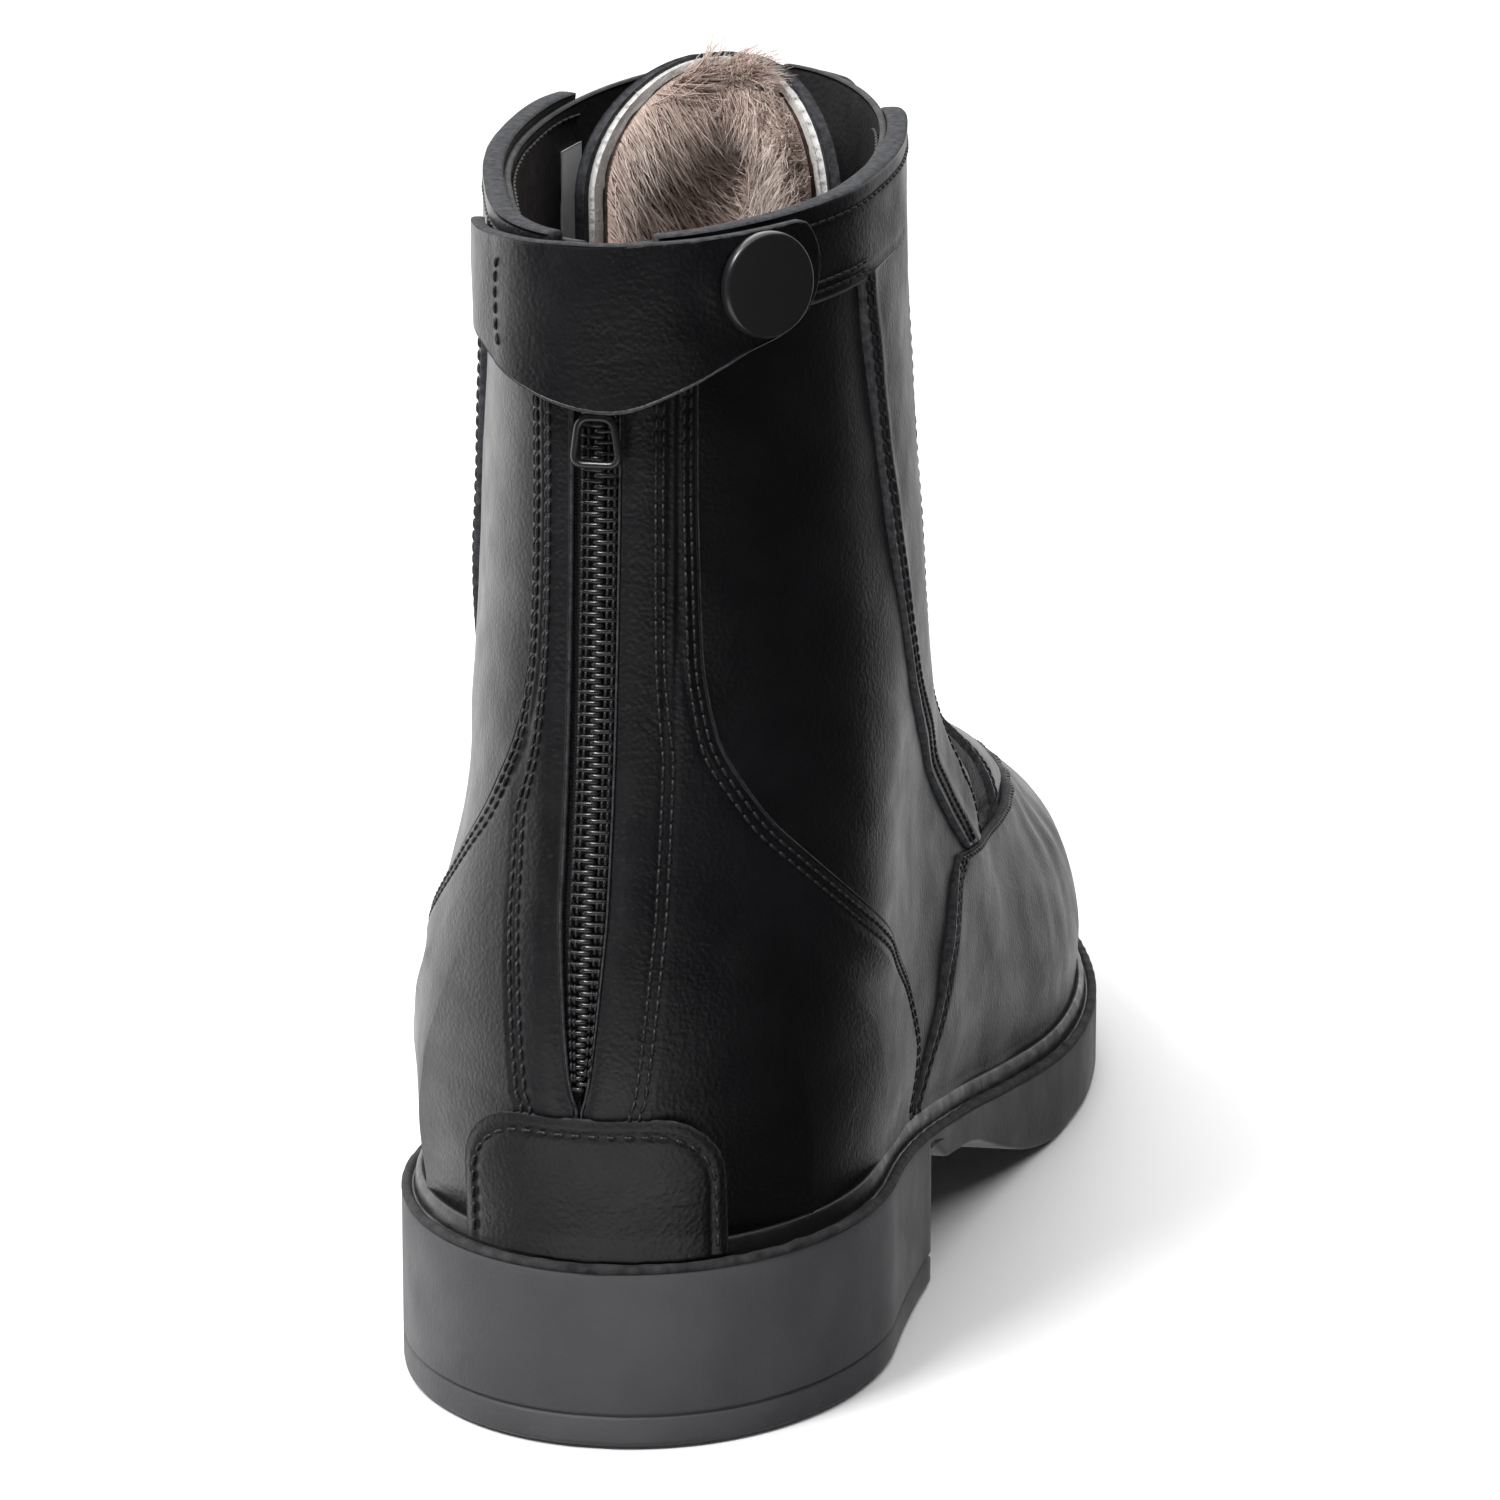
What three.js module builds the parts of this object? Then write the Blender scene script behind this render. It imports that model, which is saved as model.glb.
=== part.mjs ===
// A rider's winter ankle boot for the right foot: back zip, snap strap, elastic gores, fur-backed tongue.
// Millimetres, +Z up, toe towards -Y, the wearer's outer (lateral) side towards -X.
// Shapes are laid out as (across, forward, up): across is positive on the lateral side and forward runs
// from the back of the heel to the toe. place() turns that into the part's own frame.
import * as THREE from 'three';

// ---- driving dimensions ----
const CENTRE_FORWARD = 142.5; // the middle of the boot's length and width, where the origin is
const CENTRE_ACROSS = 2.5;
const LEATHER = 1.5; // thickness of every upper panel
const GAP = 0.7; // clearance between stacked faceted panels
const OVERLAY = 0.3; // inner face of the outermost panels
const BASE = -LEATHER - GAP + OVERLAY; // inner face of quarters and gores
const LINING = BASE - LEATHER - GAP - 0.6; // inner face of the linings
const STRAP = 4.9; // inner face of the snap strap where it passes over the zip
const STRAP_THICKNESS = 1.8;
const HEEL_BREAST = 79; // forward edge of the heel
const LIFT_HEIGHT = 5.6;
const HEEL_TOP = 20.8;
const WELT_HEIGHT = 2.6;
const FLAT_GAP = 0.3; // clearance between stacked flat pieces
const SNAP_RADIUS = 7.4;
const SNAP_LIFT = 0.4; // how much prouder the strap stands at the snap
const HINGE_DROP = 1.6; // how much closer it lies where it is sewn on
const ANCHOR_THICKNESS = 1.4;
const ZIP_OPENING = 3.4; // half width of the slot between the counters
const ZIP_TOP = 166;
const ZIP_BOTTOM = 49;
const ZIP_LEAN = { top: -0.3, bottom: -2.2 }; // where the zip's middle lies across the back
const SLIDER_UP = 153.2;
const PULL_UP = 146.1; // the top of the pull, where it swings

// ---- the last: one loop per level, from the welt (0) to the collar (11) ----
// rear and front are [forward, up] of the loop's two ends; heel, waist and ball are half widths;
// nose is the length of the loop's rounded front end.
const LEVELS = [
  { rear: [4.6, 30.5], front: [280, 17], heel: 32, waist: 31.5, ball: 41.8, nose: 84 },
  { rear: [3.8, 42], front: [282.6, 25.5], heel: 33.4, waist: 33.4, ball: 42, nose: 86 },
  { rear: [4.4, 54], front: [278, 36], heel: 33, waist: 33.6, ball: 39.2, nose: 88 },
  { rear: [5.8, 64], front: [260, 44.6], heel: 32.6, waist: 32.8, ball: 33.4, nose: 90 },
  { rear: [7.6, 73], front: [234, 50.8], heel: 32, waist: 31.8, ball: 31.2, nose: 88 },
  { rear: [9.6, 82], front: [203, 58.5], heel: 31.2, waist: 31, ball: 31.4, nose: 84 },
  { rear: [11.4, 91], front: [165, 70.5], heel: 30.8, waist: 30.8, ball: 31, nose: 76 },
  { rear: [12.6, 101], front: [132, 91], heel: 30.7, waist: 31, ball: 30.6, nose: 60 },
  { rear: [13.4, 113], front: [121, 117], heel: 30.1, waist: 30.5, ball: 30.4, nose: 54 },
  { rear: [13.8, 130], front: [116.4, 139], heel: 29.1, waist: 29.1, ball: 29.1, nose: 52 },
  { rear: [13.6, 150], front: [115.6, 160], heel: 28.2, waist: 28.2, ball: 28.2, nose: 52 },
  { rear: [13.2, 170], front: [115.4, 182.5], heel: 28, waist: 28, ball: 28, nose: 52 },
];
const TOP = LEVELS.length - 1;
const REAR_ROUND = { low: 43, high: 52 }; // length of the rounded rear end at the welt and in the shaft
const HEEL_AT = 45;
const WAIST_AT = 100;
const BALL_AT = 190;

const clamp = (x, low, high) => Math.min(high, Math.max(low, x));
const mix = (a, b, t) => a + (b - a) * t;
const ease = (x) => x * x * (3 - 2 * x);
const ramp = (x, from, to) => ease(clamp((x - from) / (to - from), 0, 1));

// Smooth curve through evenly spaced values.
function through(values, x) {
  const i = clamp(Math.floor(x), 0, values.length - 2);
  const t = x - i;
  const at = (k) => values[clamp(k, 0, values.length - 1)];
  const [a, b, c, d] = [at(i - 1), at(i), at(i + 1), at(i + 2)];
  return b + 0.5 * t * (c - a + t * (2 * a - 5 * b + 4 * c - d + t * (3 * (b - c) + d - a)));
}

const column = (pick) => LEVELS.map(pick);
const TABLE = {
  rearForward: column((l) => l.rear[0]),
  rearUp: column((l) => l.rear[1]),
  frontForward: column((l) => l.front[0]),
  frontUp: column((l) => l.front[1]),
  heel: column((l) => l.heel),
  waist: column((l) => l.waist),
  ball: column((l) => l.ball),
  nose: column((l) => l.nose),
};

// How far the loops' middle line lies to the lateral side: the sole curves inwards at the toe, and the
// shaft leans outwards above the heel.
function middle(forward, up) {
  const sole = 5 * ramp(forward, 55, 130) - 9 * ramp(forward, 150, 285);
  const shaft = 4.1 * ramp(forward, 8, 42) * ramp(up, 45, 92);
  const inShaft = ramp(up, 60, 120);
  return mix(sole + shaft * (1 - ramp(forward, 45, 110)), shaft, inShaft);
}

// A point of the last's surface: round is 0 at the back seam, +1 and -1 at the front middle,
// positive on the lateral side; level runs from 0 at the welt to TOP at the collar.
function lastPoint(round, level) {
  const rear = through(TABLE.rearForward, level);
  const front = through(TABLE.frontForward, level);
  const share = (1 - Math.cos(Math.PI * round)) / 2;
  const forward = mix(rear, front, share);
  const step = mix(ramp(share, 0.13, 0.62), share, ramp(level, 0, 5));
  const toeSpring = 2.5 * ramp(forward, 215, 285) * (1 - ramp(level, 0, 2));
  const up = mix(through(TABLE.rearUp, level), through(TABLE.frontUp, level), step) + toeSpring;
  const [heel, waist, ball] = [TABLE.heel, TABLE.waist, TABLE.ball].map((values) => through(values, level));
  const heelToWaist = mix(heel, waist, ramp(forward, HEEL_AT, WAIST_AT));
  const width = mix(heelToWaist, ball, ramp(forward, WAIST_AT + 5, BALL_AT + 5));
  const rearRound = mix(REAR_ROUND.low, REAR_ROUND.high, level / TOP);
  const nose = through(TABLE.nose, level);
  const rearPart = clamp((rear + rearRound - forward) / rearRound, 0, 1);
  const frontPart = clamp((forward - front + nose) / nose, 0, 1);
  const half = width * Math.sqrt((1 - rearPart ** 2) * (1 - frontPart ** 2));
  const side = Math.sign(Math.sin(Math.PI * round));
  return new THREE.Vector3(middle(forward, up) + side * half, forward, up);
}

// The same point moved out along the surface's normal.
function offsetPoint(round, level, offset) {
  const step = 0.004;
  const low = Math.max(level - step * 4, 0);
  const high = Math.min(level + step * 4, TOP);
  const along = lastPoint(round + step, level).sub(lastPoint(round - step, level));
  const rise = lastPoint(round, high).sub(lastPoint(round, low));
  const normal = along.cross(rise);
  if (level < 0.02) normal.z = 0;
  return lastPoint(round, level).addScaledVector(normal.normalize(), offset);
}

const place = (p) => new THREE.Vector3(CENTRE_ACROSS - p.x, CENTRE_FORWARD - p.y, p.z);

// Where a loop is as far forward as asked.
function roundAt(forward, level) {
  const rear = through(TABLE.rearForward, level);
  const front = through(TABLE.frontForward, level);
  const share = clamp((forward - rear) / (front - rear), 0, 1);
  return Math.acos(1 - 2 * share) / Math.PI;
}

function bisect(wanted, at, low, high) {
  for (let i = 0; i < 40; i++) {
    const half = (low + high) / 2;
    if (at(half) < wanted) low = half;
    else high = half;
  }
  return (low + high) / 2;
}

const levelAtHeight = (round, up) => bisect(up, (level) => lastPoint(round, level).z, 0, TOP);
const heightAtSide = (forward, level) => lastPoint(roundAt(forward, level), level).z;
const levelAtSide = (forward, up) => bisect(up, (level) => heightAtSide(forward, level), 0, TOP);
const roundAtAcross = (across, level) => bisect(across, (r) => lastPoint(r, level).x, -0.3, 0.3);

// A seam given as [forward, up] points on a boot's side, as a function from level to round.
function seam(points) {
  const rows = points.map(([forward, up]) => {
    const level = levelAtSide(forward, up);
    return [level, roundAt(forward, level)];
  });
  rows.sort((a, b) => a[0] - b[0]);
  return (level) => {
    let i = 0;
    while (i < rows.length - 2 && level > rows[i + 1][0]) i++;
    const [[l0, r0], [l1, r1]] = [rows[i], rows[i + 1]];
    return mix(r0, r1, clamp((level - l0) / (l1 - l0), 0, 1));
  };
}

// ---- mesh helpers ----
function meshFrom(points, triangles) {
  const geometry = new THREE.BufferGeometry();
  const placed = points.map(place).flatMap((p) => [p.x, p.y, p.z]);
  geometry.setAttribute('position', new THREE.Float32BufferAttribute(placed, 3));
  geometry.setIndex(triangles);
  geometry.computeVertexNormals();
  return geometry;
}

// A closed sheet from blocks of cells. Each block is a grid of [u, v] spots; blocks that share an edge
// share its spots. at(u, v, offset) gives a point, and the sheet runs from the inner to the outer offset.
function panel(blocks, inner, outer, at = offsetPoint) {
  const index = new Map();
  const spots = [];
  const cells = [];
  const spot = ([round, level]) => {
    const key = `${round.toFixed(5)},${level.toFixed(4)}`;
    if (!index.has(key)) {
      index.set(key, spots.length);
      spots.push([round, level]);
    }
    return index.get(key);
  };
  for (const grid of blocks) {
    const ids = grid.map((row) => row.map(spot));
    for (let j = 0; j + 1 < ids.length; j++) {
      for (let i = 0; i + 1 < ids[j].length; i++) {
        cells.push([ids[j][i], ids[j][i + 1], ids[j + 1][i + 1]]);
        cells.push([ids[j][i], ids[j + 1][i + 1], ids[j + 1][i]]);
      }
    }
  }
  const count = spots.length;
  const outerPoints = spots.map(([u, v]) => at(u, v, outer));
  const innerPoints = spots.map(([u, v]) => at(u, v, inner));
  const triangles = [];
  const edges = new Map();
  for (const [a, b, c] of cells) {
    triangles.push(a, b, c, count + a, count + c, count + b);
    for (const [p, q] of [[a, b], [b, c], [c, a]]) {
      if (!edges.delete(`${q},${p}`)) edges.set(`${p},${q}`, [p, q]);
    }
  }
  for (const [p, q] of edges.values()) {
    triangles.push(q, p, count + p, q, count + p, count + q);
  }
  return meshFrom([...outerPoints, ...innerPoints], triangles);
}

// A grid of spots made by a function of two shares.
function gridOf(columns, rows, spot) {
  const line = (j) => Array.from({ length: columns + 1 }, (_, i) => spot(i / columns, j / rows));
  return Array.from({ length: rows + 1 }, (_, j) => line(j));
}

// A grid of [round, level] points between two edges that are functions of the level.
function block(from, to, low, high, columns, rows) {
  const grid = [];
  for (let j = 0; j <= rows; j++) {
    const level = mix(low, high, j / rows);
    const [a, b] = [from(level), to(level)];
    grid.push(Array.from({ length: columns + 1 }, (_, i) => [mix(a, b, i / columns), level]));
  }
  return grid;
}

const mirrored = (grid) => grid.map((row) => row.map(([round, level]) => [-round, level]).reverse());
const sided = (blocks, side) => (side > 0 ? blocks : blocks.map(mirrored));

// ---- sole unit ----
// The sole's edge follows the welt line, standing out a little at the heel and more at the ball.
function solePoint(round, extra) {
  const edge = lastPoint(round, 0);
  const standOut = mix(4.4, 5.4, ramp(edge.y, 80, 170));
  return offsetPoint(round, 0, standOut + extra);
}

const weltLine = (round) => lastPoint(round, 0).z;
const upright = (p, low, high) => [low, high].map((z) => new THREE.Vector3(p.x, p.y, z));

// A slab across the sole at the given rounds, with its lower and upper faces as functions of forward.
function soleSlab(extra, rounds, low, high) {
  const points = [];
  const triangles = [];
  const steps = rounds.length - 1;
  for (const round of rounds) {
    const lateral = solePoint(round, extra);
    const medial = solePoint(-round, extra);
    for (const p of [medial, lateral]) points.push(...upright(p, low(p.y, round), high(p.y, round)));
  }
  const quad = (a, b, c, d) => triangles.push(a, b, c, a, c, d);
  for (let i = 0; i < steps; i++) {
    const k = 4 * i;
    quad(k, k + 4, k + 6, k + 2);
    quad(k + 1, k + 3, k + 7, k + 5);
    quad(k, k + 1, k + 5, k + 4);
    quad(k + 2, k + 6, k + 7, k + 3);
  }
  const last = 4 * steps;
  quad(0, 2, 3, 1);
  quad(last, last + 1, last + 3, last + 2);
  return meshFrom(points, triangles);
}

// A closed band round the sole, from an inner to an outer inset.
function soleRing(inner, outer, steps, low, high) {
  const points = [];
  const triangles = [];
  for (let i = 0; i < steps; i++) {
    const round = (2 * i) / steps;
    for (const extra of [outer, inner]) {
      const p = solePoint(round, extra);
      points.push(...upright(p, low(p.y, round), high(p.y, round)));
    }
  }
  const quad = (a, b, c, d) => triangles.push(a, b, c, a, c, d);
  for (let i = 0; i < steps; i++) {
    const [k, n] = [4 * i, 4 * ((i + 1) % steps)];
    quad(k, n, n + 1, k + 1);
    quad(k + 1, n + 1, n + 3, k + 3);
    quad(k + 3, n + 3, n + 2, k + 2);
    quad(k + 2, n + 2, n, k);
  }
  return meshFrom(points, triangles);
}

const SOLE_EDGE = 0.03; // how near the ends of a loop the slabs start
const breastRound = roundAt(HEEL_BREAST, 0);
const weltTop = (_, round) => weltLine(round) - 1;
const weltLow = (_, round) => weltTop(_, round) - WELT_HEIGHT;
const soleTop = (_, round) => weltLow(_, round) - FLAT_GAP;

function outsoleLow(forward, round) {
  const waist = soleTop(forward, round) - 5.2;
  const ground = 3.2 * ramp(forward, 225, 290);
  const arch = mix(HEEL_TOP + FLAT_GAP, waist, ramp(forward, HEEL_BREAST + 0.5, HEEL_BREAST + 14));
  return mix(arch, ground, ramp(forward, 105, 160));
}

const spread = (from, to, steps) => Array.from({ length: steps + 1 }, (_, i) => mix(from, to, i / steps));
const heelRounds = spread(SOLE_EDGE, breastRound, 12);
const heelSlab = (extra, low, high) => soleSlab(extra, heelRounds, () => low, () => high);
const makeTopLift = () => heelSlab(0, 0, LIFT_HEIGHT);
const makeHeelBlock = () => heelSlab(0, LIFT_HEIGHT + FLAT_GAP, HEEL_TOP);
const soleRounds = [...heelRounds, ...spread(breastRound + 0.006, 1 - SOLE_EDGE, 22)];
const makeOutsole = () => soleSlab(0, soleRounds, outsoleLow, soleTop);
const makeWelt = () => soleRing(-9, -0.8, 44, weltLow, weltTop);
const makeInsoleBoard = () => soleSlab(-10, spread(0.06, 0.93, 20), weltLow, (f, r) => weltTop(f, r) - 0.4);

function makeShank() {
  const top = (f, r) => weltTop(f, r) + 0.4 + 1;
  return soleSlab(-24, spread(0.27, 0.5, 8), (f, r) => weltTop(f, r) + 0.1, top);
}

function makeFootbed() {
  const low = (f, r) => weltTop(f, r) + 2.1;
  return soleSlab(-10.4, spread(0.1, 0.9, 20), low, (f, r) => low(f, r) + 3.4);
}

// ---- upper ----
const zipAcross = (up) => mix(ZIP_LEAN.bottom, ZIP_LEAN.top, (up - ZIP_BOTTOM) / (ZIP_TOP - ZIP_BOTTOM));
const rearHeight = (level) => through(TABLE.rearUp, level);

// Half the slot between the counters: a point at the bottom that opens over the first centimetres.
const slotHalf = (up) => 0.5 + (ZIP_OPENING - 0.5) * Math.sqrt(clamp((up - ZIP_BOTTOM) / 26, 0, 1));

// The edge of one counter along the zip, as a round.
function zipEdge(side, extra = 0) {
  return (level) => {
    const up = rearHeight(level);
    return side * roundAtAcross(zipAcross(up) + side * (slotHalf(up) + extra), level);
  };
}

// Seams on the boot's sides, as [forward, up] points.
const COUNTER_SEAM = [
  [79, 28], [76, 40], [67, 52], [50, 63], [33, 74], [22, 86], [17.6, 98], [17, 110], [17.4, 134], [17.4, 171],
];
const FACING_REAR = [
  [109, 63.5], [98, 72], [84, 83], [69, 93], [58, 107], [52, 121], [48, 140], [44, 159], [43, 178],
];
const FACING_FRONT = [[126, 58], [119, 71], [109, 83], [97, 95], [88, 109], [83, 130], [84, 152], [91, 181]];
const PANEL_SIDE = [
  [147, 53], [141, 66], [133, 76], [122, 88], [112, 103], [106, 120], [104, 145], [108, 183],
];
const VAMP_REAR = [[80, 27], [84, 36], [93, 48], [103, 57], [110, 60]];

const counterSeam = seam(COUNTER_SEAM);
const facingRear = seam(FACING_REAR);
const facingFront = seam(FACING_FRONT);
const panelSide = seam(PANEL_SIDE);
const vampRear = seam(VAMP_REAR);
const COLLAR_LOW = levelAtSide(44, 160);
const TAB_TOP = levelAtSide(128, 57);
const FACING_LOW = TAB_TOP + 0.12;
const COUNTER_TOP = COLLAR_LOW - 0.15;
const QUARTER_TOP = TOP - 0.4;
const PATCH_TOP = levelAtHeight(0, 47.6);
const under = (edge, amount) => (level) => edge(level) + amount;
const underFacing = (share) => (level) => mix(facingRear(level), facingFront(level), share);
const steady = (value) => () => value;

const zipStart = (side) => (level) => zipEdge(side)(Math.max(level, PATCH_TOP));
const makeCounter = (side) =>
  panel(sided([block(zipStart(side), counterSeam, 0, COUNTER_TOP, 9, 15)], side), OVERLAY, OVERLAY + LEATHER);

function makeQuarter(side) {
  const rear = under(counterSeam, -0.015);
  const front = (level) => (level < TAB_TOP ? vampRear(level) + 0.035 : underFacing(0.4)(level));
  return panel(sided([block(rear, front, 0, QUARTER_TOP, 6, 14)], side), BASE, BASE + LEATHER);
}

// The collar and the facing are one piece. Its front top corner falls away.
function makeFacing(side) {
  const start = (level) => roundAtAcross(9, level);
  const corner = gridOf(4, 2, (s, t) => {
    const level = mix(COLLAR_LOW, TOP - 0.09 * s ** 2, t);
    return [mix(facingRear(level), facingFront(level), s), level];
  });
  return panel(sided([
    block(start, facingRear, COLLAR_LOW, TOP, 5, 2),
    corner,
    block(facingRear, facingFront, FACING_LOW, COLLAR_LOW, 4, 9),
  ], side), OVERLAY, OVERLAY + LEATHER);
}

function makeGore(side) {
  const grid = block(underFacing(0.55), under(panelSide, 0.03), TAB_TOP, TOP - 0.5, 6, 10);
  return panel(sided([grid], side), BASE, BASE + LEATHER);
}

// A panel that crosses the front middle from one side's edge to the other's.
function frontPanel(edge, low, high, columns, rows, inner, outer) {
  const far = (level) => 2 - edge(level);
  return panel([block(edge, far, low, high, columns, rows)], inner, outer);
}

const makeVamp = () => frontPanel(vampRear, 0, TAB_TOP, 24, 5, OVERLAY, OVERLAY + LEATHER);

// Its top corners are rounded.
function makeFrontPanel() {
  const low = TAB_TOP + 0.06;
  const spot = (s, t) => {
    const corner = clamp((Math.abs(2 * s - 1) - 0.7) / 0.3, 0, 1);
    const level = mix(low, TOP - 0.15 - 0.28 * corner ** 2, t);
    const edge = panelSide(level);
    return [mix(edge, 2 - edge, s), level];
  };
  return panel([gridOf(12, 12, spot)], OVERLAY + 0.2, OVERLAY + LEATHER);
}

const makeVampLining = () =>
  frontPanel(under(vampRear, 0.06), 0.1, TAB_TOP - 0.08, 22, 4, BASE - 0.3, BASE + LEATHER - 0.3);
const makeToePuff = () => frontPanel(steady(0.8), 0.4, 2.2, 20, 4, LINING - 0.4, LINING + LEATHER - 0.4);
const makeHeelStiffener = () =>
  panel([block(steady(-0.42), steady(0.42), 0.3, 3.1, 16, 3)], LINING, LINING + LEATHER);
const makeShaftLining = (side) =>
  panel(sided([block(steady(0.075), steady(0.975), 3.3, TOP - 0.3, 22, 12)], side), LINING, LINING + LEATHER);

// A blank tag on the medial lining, inside the collar.
const makeLabel = () =>
  panel([block(steady(-0.58), steady(-0.54), TOP - 1.1, TOP - 0.5, 2, 2)], LINING - 0.8, LINING - 0.3);

function makeHeelPatch() {
  const half = (level) => 8.5 + 8.6 * Math.sqrt(1 - clamp((rearHeight(level) - 38) / 9.6, 0, 1) ** 2);
  const edge = (side) => (level) => roundAtAcross(-1 + side * half(level), level);
  const inner = OVERLAY + LEATHER + GAP - 0.2;
  return panel([block(edge(-1), edge(1), 0, PATCH_TOP, 10, 5)], inner, inner + 1.2);
}

// ---- tongue ----
const TONGUE = {
  half: 20.3, middle: 2.9, shoulder: 164.5, low: 112, forward: 99.5, wrap: 19, lean: 0.05, fullness: 0.82,
};

// A spot on the tongue: u across it from -1 to 1, v up it from 0 to 1, offset towards the shaft's middle.
function tonguePoint(u, v, offset, inset = 0) {
  const straight = 0.7;
  const turn = clamp((v - straight) / (1 - straight), 0, 1) * Math.PI * 0.44;
  const radius = TONGUE.half - inset;
  const x = u * radius * Math.cos(turn) ** TONGUE.fullness;
  const up = mix(TONGUE.low, TONGUE.shoulder, Math.min(v / straight, 1)) + radius * Math.sin(turn);
  const slope = (2 * TONGUE.wrap * x) / TONGUE.half ** 2;
  const length = Math.hypot(slope, 1);
  const wrapped = TONGUE.forward - TONGUE.wrap * (x / TONGUE.half) ** 2;
  const forward = wrapped - TONGUE.lean * (up - TONGUE.shoulder);
  return new THREE.Vector3(TONGUE.middle + x - (offset * slope) / length, forward - offset / length, up);
}

function makeTongueLayer(inner, outer, inset) {
  const grid = gridOf(6, 9, (s, t) => [mix(-1, 1, s), t]);
  return panel([grid], inner, outer, (u, v, offset) => tonguePoint(u, v, offset, inset));
}

// ---- snap strap ----
const STRAP_LEVEL = 10.3;
const HINGE_FORWARD = 24;
const STRAP_END = 28.5;
const strapStart = -roundAt(HINGE_FORWARD, STRAP_LEVEL);
const strapEnd = roundAt(STRAP_END, STRAP_LEVEL);
const anchorEnd = -roundAt(37, STRAP_LEVEL);
const STRAP_TOP = [169.6, 170, 170, 170.4, 171.4, 172, 172];
const STRAP_LOW = [156, 152.6, 148.2, 147, 150.4, 155, 157.5];

function strapSpot(s, t) {
  const round = mix(strapStart, strapEnd, s);
  const top = through(STRAP_TOP, s * (STRAP_TOP.length - 1));
  const low = through(STRAP_LOW, s * (STRAP_LOW.length - 1));
  const tip = clamp((s - 0.86) / 0.14, 0, 0.96);
  const half = ((top - low) / 2) * Math.sqrt(1 - tip ** 2);
  return [round, levelAtHeight(round, (top + low) / 2 + half * (2 * t - 1))];
}

// The strap stands a little prouder towards the snap, over its stud and socket, and lies closer at its seam.
function strapPoint(round, level, offset) {
  const lift = SNAP_LIFT * ramp(round, 0.02, 0.14);
  const drop = HINGE_DROP * (1 - ramp(round, strapStart, -0.09));
  return offsetPoint(round, level, offset + lift - drop);
}
const makeStrap = () => panel([gridOf(18, 4, strapSpot)], STRAP, STRAP + STRAP_THICKNESS, strapPoint);

function makeStrapAnchor() {
  const spot = (s, t) => {
    const round = mix(anchorEnd, strapStart - 0.006, s);
    return [round, levelAtHeight(round, mix(153.2, 169, t))];
  };
  const inner = OVERLAY + LEATHER + GAP - 0.2;
  return panel([gridOf(5, 3, spot)], inner, inner + ANCHOR_THICKNESS);
}

// A mesh seated on the last: its own +Z along the surface's normal and +Y up along the surface.
function seat(geometry, round, level, offset) {
  const mesh = new THREE.Mesh(geometry);
  const origin = place(offsetPoint(round, level, offset));
  const normal = place(offsetPoint(round, level, offset + 1)).sub(origin).normalize();
  const rise = place(offsetPoint(round, level + 0.1, offset)).sub(origin);
  const across = rise.clone().cross(normal).normalize();
  const up = normal.clone().cross(across);
  mesh.position.copy(origin);
  mesh.quaternion.setFromRotationMatrix(new THREE.Matrix4().makeBasis(across, up, normal));
  return mesh;
}

const seated = (round, level, offset) => (geometry) => seat(geometry, round, level, offset);
const lathe = (points, steps) =>
  new THREE.LatheGeometry(points.map(([r, z]) => new THREE.Vector2(r, z)), steps).rotateX(Math.PI / 2);
const snapRound = roundAt(20.8, STRAP_LEVEL);
const snapLevel = levelAtHeight(snapRound, 163.8);
const SNAP_CAP = [[0, 0], [SNAP_RADIUS, 0], [SNAP_RADIUS, 0.9], [6.6, 1.5], [4, 2.1], [0, 2.4]];
const disc = (radius, height) => [[0, 0], [radius, 0], [radius, height], [0, height]];

// ---- zip ----
const zipRound = (across) => (level) => {
  const up = rearHeight(level);
  return roundAtAcross(zipAcross(up) + across(up), level);
};
const tapeLow = levelAtHeight(0, ZIP_BOTTOM);
const tapeTop = levelAtHeight(0, ZIP_TOP);
const coilLow = levelAtHeight(0, 52);
const coilTop = levelAtHeight(0, SLIDER_UP - 6.4);

function zipBand(side, from, to, low, high, inner, outer) {
  const near = zipRound((up) => side * from(up));
  const far = zipRound((up) => side * to(up));
  const edges = side > 0 ? [near, far] : [far, near];
  return panel([block(...edges, low, high, 2, 12)], inner, outer);
}

const makeTape = (side) =>
  zipBand(side, steady(0.2), steady(6.6), tapeLow, tapeTop, BASE + 0.7, BASE + LEATHER);
const makeCoil = (side) =>
  zipBand(side, steady(0.2), (up) => Math.min(2.7, slotHalf(up) - 0.35), coilLow, coilTop, 0, 1.3);

const SLIDER_SIZE = { width: 7.6, height: 9.4, thick: 1.3, lug: 1.9 };
const PULL = { top: 4.6, low: 7.8, height: 9.2, thick: 1.3, wall: 1.5 };

function rounded(shape, corners, radius) {
  corners.forEach(([x, y], i) => {
    const here = new THREE.Vector2(x, y);
    const towards = (corner) => new THREE.Vector2(...corner).sub(here).setLength(radius).add(here);
    const before = towards(corners.at(i - 1));
    const after = towards(corners[(i + 1) % corners.length]);
    if (i === 0) shape.moveTo(before.x, before.y);
    else shape.lineTo(before.x, before.y);
    shape.quadraticCurveTo(x, y, after.x, after.y);
  });
  shape.closePath();
  return shape;
}

const extruded = (shape, depth) =>
  new THREE.ExtrudeGeometry(shape, { depth, bevelEnabled: false, curveSegments: 3 });

function makeSlider() {
  const [w, h] = [SLIDER_SIZE.width / 2, SLIDER_SIZE.height / 2];
  const right = [[1.2, -h - SLIDER_SIZE.lug], [1.4, -h], [w * 0.7, -h], [w, h * 0.4], [w * 0.6, h]];
  const left = right.map(([x, y]) => [-x, y]).reverse();
  return extruded(rounded(new THREE.Shape(), [...right, ...left], 0.4), SLIDER_SIZE.thick);
}

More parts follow.
